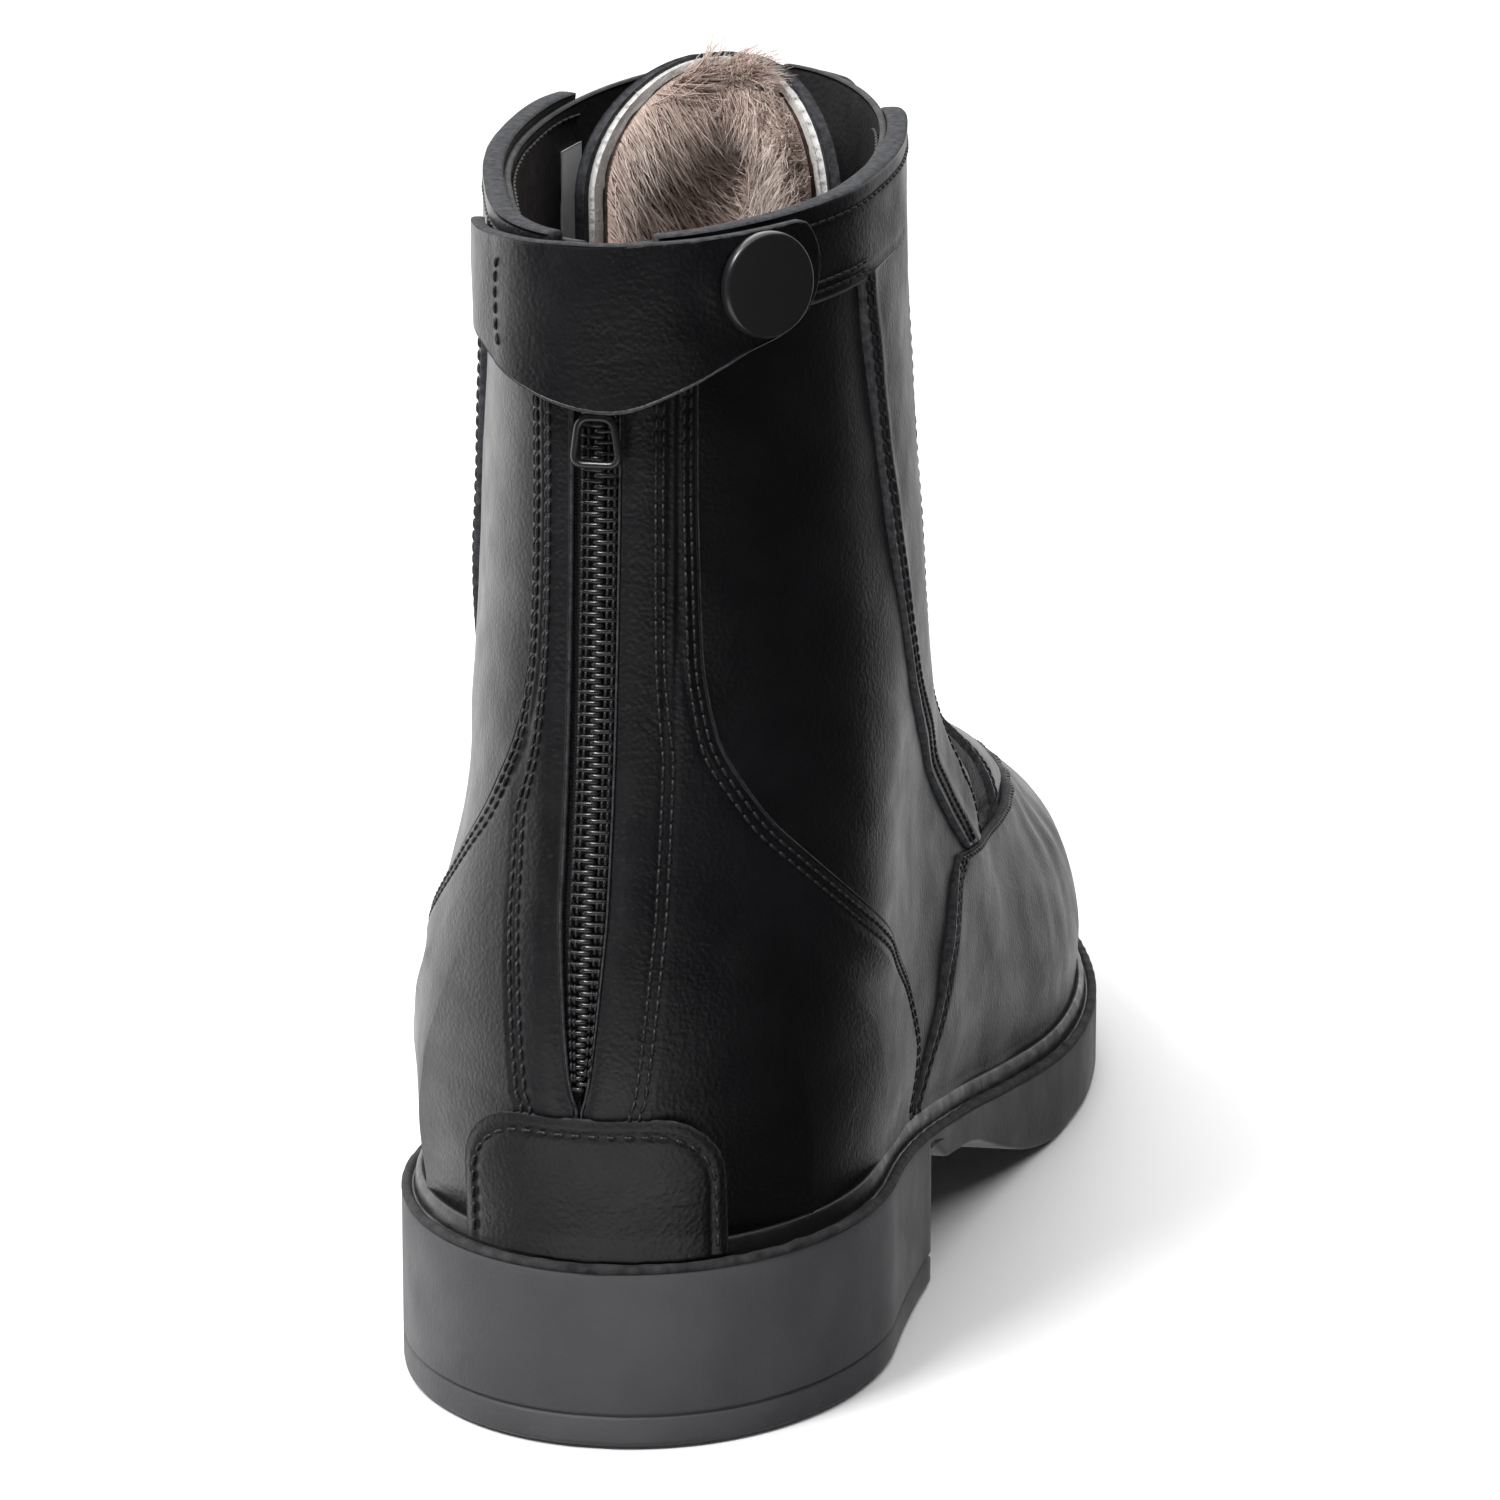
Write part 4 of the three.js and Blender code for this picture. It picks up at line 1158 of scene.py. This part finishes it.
def make_snap_rings():
    """Socket under the strap and stud on the collar, each a pressed ring."""
    socket = [
        (1.5, 0.35), (1.7, 0.0), (3.9, 0.0), (4.2, 0.3), (4.1, 0.75), (3.3, 1.0), (2.0, 0.95), (1.5, 0.7),
        (1.5, 0.35),
    ]
    stud = [
        (0.05, 0.0), (3.7, 0.0), (3.8, 0.2), (3.6, 0.45), (1.6, 0.5), (1.45, 0.75), (0.9, 0.85), (0.05, 0.85),
    ]
    for name, profile, offset, body, node in (
        ("snap_socket_ring", socket, 3.5, "strap", "snap_socket"),
        ("snap_stud_post", stud, 2.35, "boot", "snap_stud"),
    ):
        shape = Shape()
        add_tubes(shape, seated(turned_profile(profile, 40), SNAP_ROUND, SNAP_LEVEL, offset)[None])
        shape.build(name, [STEEL], body, [node], merge=False)


# ---- zip ----
TOOTH_PITCH = 1.57


def zip_point(across, up, offset):
    """Points beside the zip's middle line."""
    across, up, offset = arrays(across, up, offset)
    level = level_at_height(0 * up, up)
    points, normals = surface(round_at_across(zip_across(up) + across, level), level)
    return points + normals * offset[..., None]


def make_tape(side, name):
    def spots(s, t):
        s, t = arrays(s, t)
        up = mix(ZIP_BOTTOM - 0.5, ZIP_TOP, t)
        level = level_at_height(0 * up, up)
        share = s if side > 0 else 1 - s
        return round_at_across(zip_across(up) + side * mix(0.12, 7.2, share), level), level

    panel = Panel(spots, -0.35, inner=-0.95, zone=1.2, fine=0.3, coarse=0.8)
    node = f"zip_tape_{name}"
    build_panel(panel, node + "_web", node, looks=[TAPE], slot="zip_tape", edge_look=0, bulge=0.1)


def make_teeth(side, name):
    """One side's coil: hooked teeth of nylon filament, and the chain of thread that sews them down."""
    low, high = 51.5, SLIDER_UP - 5.6
    hook = np.array([
        (2.55, -0.2), (2.5, 0.3), (2.25, 0.72), (1.6, 0.88), (0.95, 0.94),
        (0.25, 0.98), (-0.35, 0.78), (-0.55, 0.35), (-0.3, -0.1), (0.3, -0.25),
    ])
    girth = np.array([0.3, 0.38, 0.4, 0.36, 0.36, 0.44, 0.5, 0.46, 0.36, 0.3])
    shape = Shape()
    start = low + (TOOTH_PITCH / 2 if side > 0 else 0)
    for up in np.arange(start, high, TOOTH_PITCH):
        reach = min(1.0, float(slot_half(up)) / 3.2)
        path = zip_point(side * hook[:, 0] * reach, up, hook[:, 1] + 0.1)
        add_tubes(shape, tube_rings(path, girth * mix(0.75, 1.0, reach))[None])
    heights = np.arange(start + 0.45, high, TOOTH_PITCH)
    _, normals = surface(0 * heights, level_at_height(0 * heights, heights))
    for across in (2.15, 1.35):
        line = zip_point(side * across * np.minimum(1, slot_half(heights) / 3.2), heights, 1.12)
        stitch_row(shape, line, normals, TOOTH_PITCH, 1.35, 0.46, look=1)
    node = f"zip_coil_{name}"
    shape.build(node + "_teeth", [NYLON, THREAD], "boot", [node], merge=False)


def smooth_loop(corners, radius, per_corner=8):
    """A closed outline with rounded corners."""
    corners = np.asarray(corners, float)
    points = []
    for k, corner in enumerate(corners):
        before = corner + unit(corners[k - 1] - corner) * radius
        after = corner + unit(corners[(k + 1) % len(corners)] - corner) * radius
        for share in np.linspace(0, 1, per_corner):
            points.append(mix(mix(before, corner, share), mix(corner, after, share), share))
    return np.array(points)


def on_zip(up, offset):
    level = float(level_at_height(0.0, up))
    around = float(round_at_across(zip_across(up), level))
    return around, level, offset


def make_slider():
    """Shield-shaped slider plate with a raised bridge and a lug that the pull hangs from."""
    half_w, half_h = 3.75, 4.65
    outline = [(-2.3, half_h), (-half_w, 1.6), (-2.7, -half_h), (2.7, -half_h), (half_w, 1.6), (2.3, half_h)]
    edge = [(0.55, 0.0), (0.15, 0.08), (0.0, 0.35), (0.0, 0.85), (0.18, 1.12), (0.6, 1.25), (2.2, 1.28)]
    shape = Shape()
    rings = []
    for inset, out in edge:
        loop = smooth_loop(outline, 0.9) * (1 - inset / 4)
        rings.append(np.column_stack([loop, np.full(len(loop), out)]))
    place = on_zip(SLIDER_UP, 2.2)
    add_tubes(shape, seated(np.array(rings)[:, ::-1], *place)[None])
    lug = [(0, -4.0, 0.5), (0, -4.7, 0.75), (0, -5.5, 0.75), (0, -6.2, 0.55), (0, -6.5, 0.3)]
    axis = seat_on(*place)[3]
    rings = tube_rings(seated(np.array(lug), *place), [0.75, 0.72, 0.68, 0.62, 0.4], 10, 0.8, up=axis)
    add_tubes(shape, rings[None])
    shape.build("zip_slider_body", [LACQUER], "slider", ["zip_slider"], merge=False)


def make_pull():
    """The pull: a trapezium of rounded wire."""
    top, low, height, wire = 6.0, 7.8, 7.7, 1.15
    narrow, wide = (top - wire) / 2, (low - wire) / 2
    high_end, low_end = -wire / 2, -height + wire / 2
    corners = [(-narrow, high_end), (-wide, low_end), (wide, low_end), (narrow, high_end)]
    loop = smooth_loop(corners, 1.7, 9)
    place = on_zip(PULL_UP, 2.4)
    path = seated(np.column_stack([loop, np.full(len(loop), 0.65)]), *place)
    rings = tube_rings(path, wire / 2, 10, 1.12, up=seat_on(*place)[3], closed=True)
    shape = Shape()
    shape.grid(np.concatenate([rings, rings[:, :1]], 1), closed=True)
    shape.build("zip_pull_ring", [LACQUER], "pull", ["zip_pull"])


# ---- tongue ----
TONGUE = {
    "half": 20.3, "middle": 2.9, "shoulder": 164.5, "low": 112.0,
    "forward": 99.5, "wrap": 19.0, "lean": 0.05, "fullness": 0.82,
}
TONGUE_STRAIGHT = 0.7  # the share of its height below the arch


FUR_HAIRS = 7400  # in each of its three meshes
FUR_TUFTS = 300


def tongue_at(inset):
    """A surface function for the tongue: u runs across it from -1 to 1, v up it from 0 to 1."""

    def at(u, v):
        u, v = arrays(u, v)
        turn = np.clip((v - TONGUE_STRAIGHT) / (1 - TONGUE_STRAIGHT), 0, 1) * np.pi * 0.494
        radius = TONGUE["half"] - inset
        x = u * radius * np.cos(turn) ** TONGUE["fullness"]
        below_arch = np.minimum(v / TONGUE_STRAIGHT, 1)
        up = mix(TONGUE["low"], TONGUE["shoulder"], below_arch) + radius * np.sin(turn)
        slope = 2 * TONGUE["wrap"] * x / TONGUE["half"] ** 2
        length = np.hypot(slope, 1)
        wrapped = TONGUE["forward"] - TONGUE["wrap"] * (x / TONGUE["half"]) ** 2
        forward = wrapped - TONGUE["lean"] * (up - TONGUE["shoulder"])
        normal = np.stack([-slope / length, -1 / length, 0 * x], -1)
        return np.stack([TONGUE["middle"] + x, forward, up], -1), normal

    return at


def tongue_spots(s, t):
    return mix(1.0, -1.0, np.asarray(s, float)), np.asarray(t, float)


def make_tongue():
    leather = Panel(tongue_spots, 2.2, inner=0.4, at=tongue_at(0), zone=3, coarse=1.6)
    shape = Shape()
    leather.into(shape, look=1, bulge=0.35)
    shape.build("tongue_leather_shell", [LEATHER_BLACK, EDGE], "tongue", ["tongue_leather"])

    def felted(p):
        return uneven(p, (3.0, 0.07, 61), (1.3, 0.05, 62))

    felt_at = tongue_at(0.5)
    felt = Panel(tongue_spots, 3.3, inner=2.2, at=felt_at, zone=3, fine=0.35, coarse=1.6, relief=felted)
    shape = Shape()
    felt.into(shape, edge_look=0, bulge=0.35)
    add_fuzz(shape, felt)
    shape.build("tongue_felt_layer", [FELT], "tongue", ["tongue_felt"], merge=False)
    make_fur()


def add_fuzz(shape, panel, count=2600):
    """Loose fibres standing off the felt's edge."""
    j, i = panel.border()
    points, normals = panel.points[j, i], panel.normals[j, i]
    outward = unit(np.cross(unit(np.roll(points, -1, 0) - np.roll(points, 1, 0)), normals))
    run = lengths(np.vstack([points, points[:1]]), 0)
    pick = rng.uniform(0, run[-1], count)
    index = np.clip(np.searchsorted(run, pick) - 1, 0, len(points) - 1)
    depth = rng.uniform(panel.inner, panel.outer, count)[:, None]
    surface_spots = points[index] + normals[index] * depth + outward[index] * 0.1
    roots = surface_spots + rng.normal(0, 0.15, (count, 3))
    aim = unit(outward[index] + normals[index] * 0.4 + rng.normal(0, 0.8, (count, 3)))
    strands(shape, roots, aim, rng.uniform(0.25, 0.6, count), 0.035, rng.uniform(0.4, 0.6, count), bend=0.5)


def strands(
    shape, roots, aim, length, width, tone, bend=0.3, droop=None, steps=4, tip_tone=0.0, wave=None
):
    """Tapered three-sided hairs.

    droop is a direction they bend towards; wave is the (size, phase, turns) of their crimp; tone is each
    hair's own and tip_tone is how much paler its tip is.
    """
    count = len(roots)
    shares = np.linspace(0, 1, steps)
    curl = unit(np.cross(aim, rng.normal(size=(count, 3)))) * bend
    if droop is not None:
        curl = curl + droop
    along, across = shares[None, :, None], (shares**2)[None, :, None] * 0.5
    path = roots[:, None] + length[:, None, None] * (aim[:, None] * along + curl[:, None] * across)
    if wave is not None:
        size, phase, turns = wave
        across = unit(np.cross(aim, [0.2, 0.3, 0.9]))
        swing = np.sin(2 * np.pi * turns * shares[None] + phase[:, None]) - np.sin(phase)[:, None]
        path = path + across[:, None] * (size * swing * shares[None] ** 0.5)[..., None]
    along = unit(np.gradient(path, axis=1))
    side = unit(np.cross(along, np.array([0.31, 0.2, 0.93])))
    other = np.cross(side, along)
    taper = width * mix(1.0, 0.25, shares**1.5)
    turn = np.arange(3) * 2 * np.pi / 3
    ring = side[:, :, None] * np.cos(turn)[:, None] + other[:, :, None] * np.sin(turn)[:, None]
    before = len(shape.tones)
    add_tubes(shape, path[:, :, None] + taper[:, None, None] * ring)
    tones = np.clip(tone[:, None] + tip_tone * (shares - 0.35)[None], 0, 1)
    shape.tones[before] = np.repeat(tones.ravel(), 3)


def make_fur():
    """Combed wool pile on its woven back, in three lengths of hair."""
    at = tongue_at(1.5)
    skin = Panel(tongue_spots, 4.1, inner=3.3, at=at, zone=2.4, coarse=1.6)
    shape = Shape()
    skin.into(shape, look=1, back_look=1, bulge=0.3)
    shape.build("tongue_fur_back", [HAIR, SKIN], "tongue", ["tongue_fur"], merge=False)
    for name, longest in (("pile", 5.6), ("mid", 7.0), ("locks", 8.6)):
        shape = Shape()
        grow_fur(shape, at, FUR_HAIRS, longest)
        shape.build(f"tongue_fur_{name}", [HAIR], "tongue", None, merge=False)


def grow_fur(shape, at, count, longest):
    """Tufts of crimped strands that follow a swirling lay with one parting, where the hairs are shorter and
    painted darker as painted shade.
    """
    tuft_u = np.sin(rng.uniform(-1, 1, FUR_TUFTS) * np.pi / 2)
    tuft_v = rng.uniform(0.2, 1, FUR_TUFTS) ** 0.8
    tuft_points, tuft_normals = at(tuft_u, tuft_v)
    tuft_tone = rng.normal(0, 0.09, FUR_TUFTS)
    tuft_phase = rng.uniform(0, 2 * np.pi, FUR_TUFTS)
    tuft_turn = rng.normal(0, 0.5, FUR_TUFTS)
    member = rng.integers(0, FUR_TUFTS, count)
    u = np.clip(tuft_u[member] + rng.normal(0, 0.1, count), -0.995, 0.995)
    v = np.clip(tuft_v[member] + rng.normal(0, 0.026, count), 0.14, 0.99)
    roots, normals = at(u, v)
    roots = roots + normals * 4.0

    x = (roots[:, 0] - TONGUE["middle"]) / TONGUE["half"]
    z = (roots[:, 2] - TONGUE["shoulder"]) / TONGUE["half"]
    parting = x - 0.13 - 0.1 * np.sin(2.2 * z)
    swirl = 1.0 * np.sin(1.9 * z + 2.6 * x) + 0.6 * np.sin(4.3 * z - 2.2 * x + 1.0)
    heading = np.where(parting > 0, -1.25, -0.6) + swirl * 0.7 + tuft_turn[member]
    lay = np.stack([np.cos(heading), 0 * x, np.sin(heading)], -1)
    lay = unit(lay - normals * np.sum(lay * normals, -1, keepdims=True))
    near_rim = np.hypot(x, np.maximum(z, 0)) > 0.72
    inward = np.stack([-x, 0 * x, -np.maximum(z, 0)], -1) * near_rim[:, None]
    aim = unit(normals * 0.7 + lay * 0.8 + inward * 0.5 + rng.normal(0, 0.15, (count, 3)))
    clump = tuft_points[member] + tuft_normals[member] * 9 + lay * 5.5 - roots
    droop = lay * 0.7 + unit(clump) * 0.6
    near_part = bell(parting, 0, 0.08) * ramp(-z, -0.6, 0.2)
    length = rng.uniform(0.55, 1.0, count) * longest * (1 - 0.3 * near_part)
    # painted shade: hairs near the parting are painted darker, standing in for the shade down in the parting
    light = 0.6 + 0.08 * np.sin(3.0 * x - 2.0 * z) - 0.3 * near_part
    tone = light + tuft_tone[member] + rng.normal(0, 0.06, count)
    wave = (0.5, tuft_phase[member] + rng.normal(0, 0.35, count), 1.25)
    strands(shape, roots, aim, length, 0.13, tone, 0.15, droop, steps=5, tip_tone=0.35, wave=wave)


# ---- inside ----
def make_label():
    """A blank ribbon sewn flat on the lining below the collar."""
    spots = between(steady(0.62), steady(0.665), TOP - 1.3, TOP - 0.4, -1)
    panel = Panel(
        spots, LINING_OUTER - 1.15, inner=LINING_OUTER - 1.45, zone=0.8, fine=0.2, coarse=0.6,
        relief=lambda p: swayed(p.points, 6, 0.08, 71),
    )
    build_panel(
        panel, "label_ribbon", "size_label", looks=[LABEL], slot="white_felt", edge_look=0, bulge=0.05
    )


# ---- sole unit ----
def sole_edge(around, extra=0.0):
    """The sole's outline: points of the welt line, moved out."""
    points, normals = surface(around, 0 * np.asarray(around, float))
    stand_out = mix(4.4, 5.4, ramp(points[..., 1], 80, 170))
    return points + normals * (stand_out + extra)[..., None]


def outsole_low(forward, top):
    """The height of the sole's underside."""
    waist = top - 5.2
    ground = 3.2 * ramp(forward, 225, 290)
    arch = mix(HEEL_TOP + 0.3, waist, ramp(forward, HEEL_BREAST + 0.5, HEEL_BREAST + 14))
    return mix(arch, ground, ramp(forward, 105, 160))


def wall_rows(low, high, line_at=None):
    """Heights up the sole's wall with how far each stands in from the edge: rounded at both ends."""
    rows = [(0.9, low), (0.35, low + 0.12), (0.08, low + 0.4), (0, low + 0.9)]
    if line_at is not None:
        groove = ((0, -0.6), (0.12, -0.28), (0.75, 0), (0.12, 0.28), (0, 0.6))
        rows += [(inset, line_at + up) for inset, up in groove]
    rows += [(0, mix(low, high, 0.6))]
    return rows + [(inset, high - down) for inset, down in ((0, 1.6), (0.04, 0.8), (0.22, 0.3), (0.6, 0))]


def sole_wall(around, low_at, line):
    """Points of the sole's wall on one side, as (stations, rows, 3)."""
    edge, _ = surface(around, 0 * around)
    top = edge[:, 2] - 4.7
    low = low_at(edge[:, 1], top)
    rows = []
    for inset, height in wall_rows(low, top, None if line is None else low + line):
        even = sole_edge(around, 0 * around - inset)
        points = sole_edge(around, swayed(even, 30, 0.07, 81) - inset)
        points[:, 2] = height
        rows.append(points)
    return np.stack(rows, 1)


def tread_bars(points, pitch, start, stop, inset):
    """Shallow grooves across the tread, which stop short of its edge."""
    forward = points[..., 1]
    wave = np.sin((forward - start) * 2 * np.pi / pitch)
    span = np.linspace(-1, 1, points.shape[1])
    inside = (np.abs(span) < inset)[None, :] & (forward > start) & (forward < stop)
    return np.where(inside & (wave > 0.35), 1.1, 0.0)


def add_slab(shape, rounds, low_at, line, bars):
    """A closed block of the sole between its two walls, with tread bars cut into its underside."""
    lateral, medial = sole_wall(rounds, low_at, line), sole_wall(-rounds, low_at, line)
    shares = np.linspace(0, 1, 49)[None, :, None]
    bottom = mix(lateral[:, :1], medial[:, :1], shares)
    bottom[..., 2] += tread_bars(bottom, *bars)
    top = mix(lateral[:, -1:], medial[:, -1:], shares)
    shape.grid(lateral.transpose(1, 0, 2))
    shape.grid(medial.transpose(1, 0, 2), turned=True)
    shape.grid(bottom)
    shape.grid(top, turned=True)
    shape.grid(np.stack([lateral[0], medial[0]]))
    shape.grid(np.stack([lateral[-1], medial[-1]]), turned=True)


def make_sole():
    """Heel and outsole in one moulded unit, with the lift's line and the tread cut in."""
    end = 0.012
    breast = float(round_at(HEEL_BREAST, 0.0))
    heel = np.unique(np.concatenate([np.linspace(end, 0.1, 14), np.linspace(0.1, breast, 64)]))
    fore = np.concatenate([np.linspace(breast, 0.9, 150), np.linspace(0.9, 1 - end, 22)[1:]])
    shape = Shape()
    add_slab(shape, heel, lambda f, top: 0 * f, LIFT_HEIGHT - 1.0, (6.5, 14, HEEL_BREAST - 6, 0.82))
    add_slab(shape, fore, outsole_low, None, (7.5, 160, 268, 0.84))
    shape.build("sole_unit", [RUBBER], "boot", ["top_lift", "heel_block", "outsole"])


def make_welt():
    """The rim of the sole with the rand inside it, up against the upper."""
    steps = 520
    around = np.arange(steps) * 2 / steps
    edge, _ = surface(around, 0 * around)
    fore = ramp(edge[:, 1], 96, 112)
    run = lengths(np.vstack([edge, edge[:1]]), 0)[:-1]
    ridge = 0.32 * fore * np.maximum(0, np.sin(run * 2 * np.pi / 2.1))
    ragged = swayed(edge, 4.0, 0.1, 91) * (1 - fore)
    profile = [
        (-0.5, -4.95), (-0.1, -4.7), (0.02, -4.35), (-0.06, -4.0), (-0.35, -3.75), (-0.85, -3.65),
        (-1.3, -3.8), (-1.5, -4.3), (-1.8, -4.35), (-1.95, -3.9), (-2.05, -3.0), (-2.2, -2.1),
        (-2.45, -1.5), (-2.85, -1.25), (-3.3, -1.45), (-4.2, -2.6), (-6.5, -3.4), (-6.5, -5.4), (-0.9, -5.4),
    ]
    shape = Shape()
    rings = []
    for extra, drop in profile:
        rim = -1.4 < extra and drop > -4.6
        points = sole_edge(around, extra + 0 * around)
        points[:, 2] = edge[:, 2] + drop + (ridge + ragged) * rim
        rings.append(points)
    rings = np.stack(rings + rings[:1], 1)
    rim_end = 7
    shape.grid(rings[:, : rim_end + 1], 0, closed=True)
    shape.grid(rings[:, rim_end:], 1, closed=True)
    shape.build("welt_rim", [WORN, RAND], "boot", ["welt"])


def make_footbed():
    """Fleece-topped footbed, slightly cupped at the heel."""
    rounds = np.linspace(0.1, 0.9, 90)
    edge, _ = surface(rounds, 0 * rounds)
    low = edge[:, 2] + 1.1
    share = np.linspace(0, 1, 33)
    rings = {}
    for name, extra, lift in (("low", -10.4, 0.0), ("side", -10.1, 1.7), ("high", -10.8, 3.3)):
        lateral, medial = sole_edge(rounds, extra + 0 * rounds), sole_edge(-rounds, extra + 0 * rounds)
        lateral[:, 2] = medial[:, 2] = low + lift
        rings[name] = (lateral, medial)
    top = mix(rings["high"][0][:, None], rings["high"][1][:, None], share[None, :, None])
    cup = -1.2 * (1 - (2 * share[None] - 1) ** 2) * (1 - ramp(edge[:, 1], 60, 140))[:, None]
    top[..., 2] += cup + swayed(top, 3, 0.12, 95)
    bottom = mix(rings["low"][0][:, None], rings["low"][1][:, None], share[None, :, None])
    shape = Shape()
    shape.grid(top, turned=True)
    shape.grid(bottom)
    for k, turned in ((0, True), (1, False)):
        shape.grid(np.stack([rings["low"][k], rings["side"][k], top[:, -k]], 1), turned=turned)
        shape.grid(np.stack([bottom[-k], top[-k]]), turned=turned)
    shape.build("footbed_fleece", [FLEECE], "boot", ["footbed"])


# ---- assembly ----
for side_sign, side_name in ((1, "lateral"), (-1, "medial")):
    for make_one in (make_counter, make_quarter, make_facing, make_gore, make_tape, make_teeth):
        make_one(side_sign, side_name)
for make_one in (
    make_vamp, make_front_panel, make_lining, make_heel_patch, make_strap, make_snap_cap, make_snap_rings,
    make_slider, make_pull, make_tongue, make_label, make_sole, make_welt, make_footbed,
):
    make_one()

KEPT_NODES = {
    "insole_board": BOARD,
    "shank": STEEL,
    "toe_puff": BOARD,
    "heel_stiffener": BOARD,
    "zip_bottom_stop": STEEL,
    "zip_top_stop_lateral": STEEL,
    "zip_top_stop_medial": STEEL,
}
for node_name, node_material in KEPT_NODES.items():
    node_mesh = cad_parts[node_name].data
    node_mesh.materials.clear()
    node_mesh.materials.append(node_material)


# ---- floor, light and camera ----
BRIGHT_WALL = (0.8, -0.95, 0.0)  # the way to the bright wall
WALL_LIGHT = 1.75


def make_floor():
    shape = Shape()
    line = np.linspace(-4000, 4000, 9)
    x, y = np.meshgrid(line, line)
    shape.grid(np.stack([x, y, np.full_like(x, -0.4)], -1))
    floor = shape.build("floor", [floor_paint()])
    floor.visible_glossy = False  # the black leather mirrors the dark room, not the floor


def add_light(name, at, size, power, aim):
    """A rectangular lamp that the camera doesn't see."""
    lamp = bpy.data.lights.new(name, "AREA")
    lamp.shape, lamp.size, lamp.size_y = "RECTANGLE", *size
    lamp.energy = power
    holder = bpy.data.objects.new(name, lamp)
    holder.location = at
    holder.visible_camera = False
    holder.rotation_euler = (Vector(aim) - Vector(at)).to_track_quat("-Z", "Y").to_euler()
    bpy.context.scene.collection.objects.link(holder)


def make_light():
    """A bright wall beyond the toe and to the left, a dark room, light from above and two small lamps."""
    world = bpy.data.worlds.new("studio")
    bpy.context.scene.world = world
    world.use_nodes = True
    tree = world.node_tree
    place = tree.nodes.new("ShaderNodeTexCoord").outputs["Generated"]
    facing = tree.nodes.new("ShaderNodeVectorMath")
    facing.operation = "DOT_PRODUCT"
    facing.inputs[1].default_value = BRIGHT_WALL
    spread = tree.nodes.new("ShaderNodeMapRange")
    spread.interpolation_type = "SMOOTHSTEP"
    for socket, number in zip(spread.inputs[1:5], (0.05, 1.2, 0.015, WALL_LIGHT)):
        socket.default_value = number
    tree.links.new(place, facing.inputs[0])
    tree.links.new(facing.outputs["Value"], spread.inputs[0])
    tree.nodes["Background"].inputs["Color"].default_value = (1, 1, 1, 1)
    tree.links.new(spread.outputs[0], tree.nodes["Background"].inputs["Strength"])
    sun = bpy.data.lights.new("overhead", "SUN")
    sun.energy, sun.angle = 3.0, math.radians(100)
    holder = bpy.data.objects.new("overhead", sun)
    holder.rotation_euler = (0.12, 0.1, 0)
    bpy.context.scene.collection.objects.link(holder)
    add_light("soft_front", (0.45, 0.75, 1.15), (0.35, 0.35), 14, (0, 0.03, 0.1))
    add_light("low_front", (0.0, 0.29, 0.004), (0.34, 0.15), 0.22, (0.0, 0.2, 0.12))


def make_camera():
    """The viewpoint: behind the heel, a little to the medial side and above."""
    camera = bpy.data.cameras.new("camera")
    camera.lens, camera.sensor_width = 147.0, 36.0
    holder = bpy.data.objects.new("camera", camera)
    holder.location = (-0.1507, 0.9429, 0.3020)
    holder.rotation_euler = Vector((0.1567, -0.9582, -0.2392)).to_track_quat("-Z", "Y").to_euler()
    bpy.context.scene.collection.objects.link(holder)
    bpy.context.scene.camera = holder


make_floor()
make_light()
make_camera()
bpy.context.scene.view_settings.view_transform = "Standard"
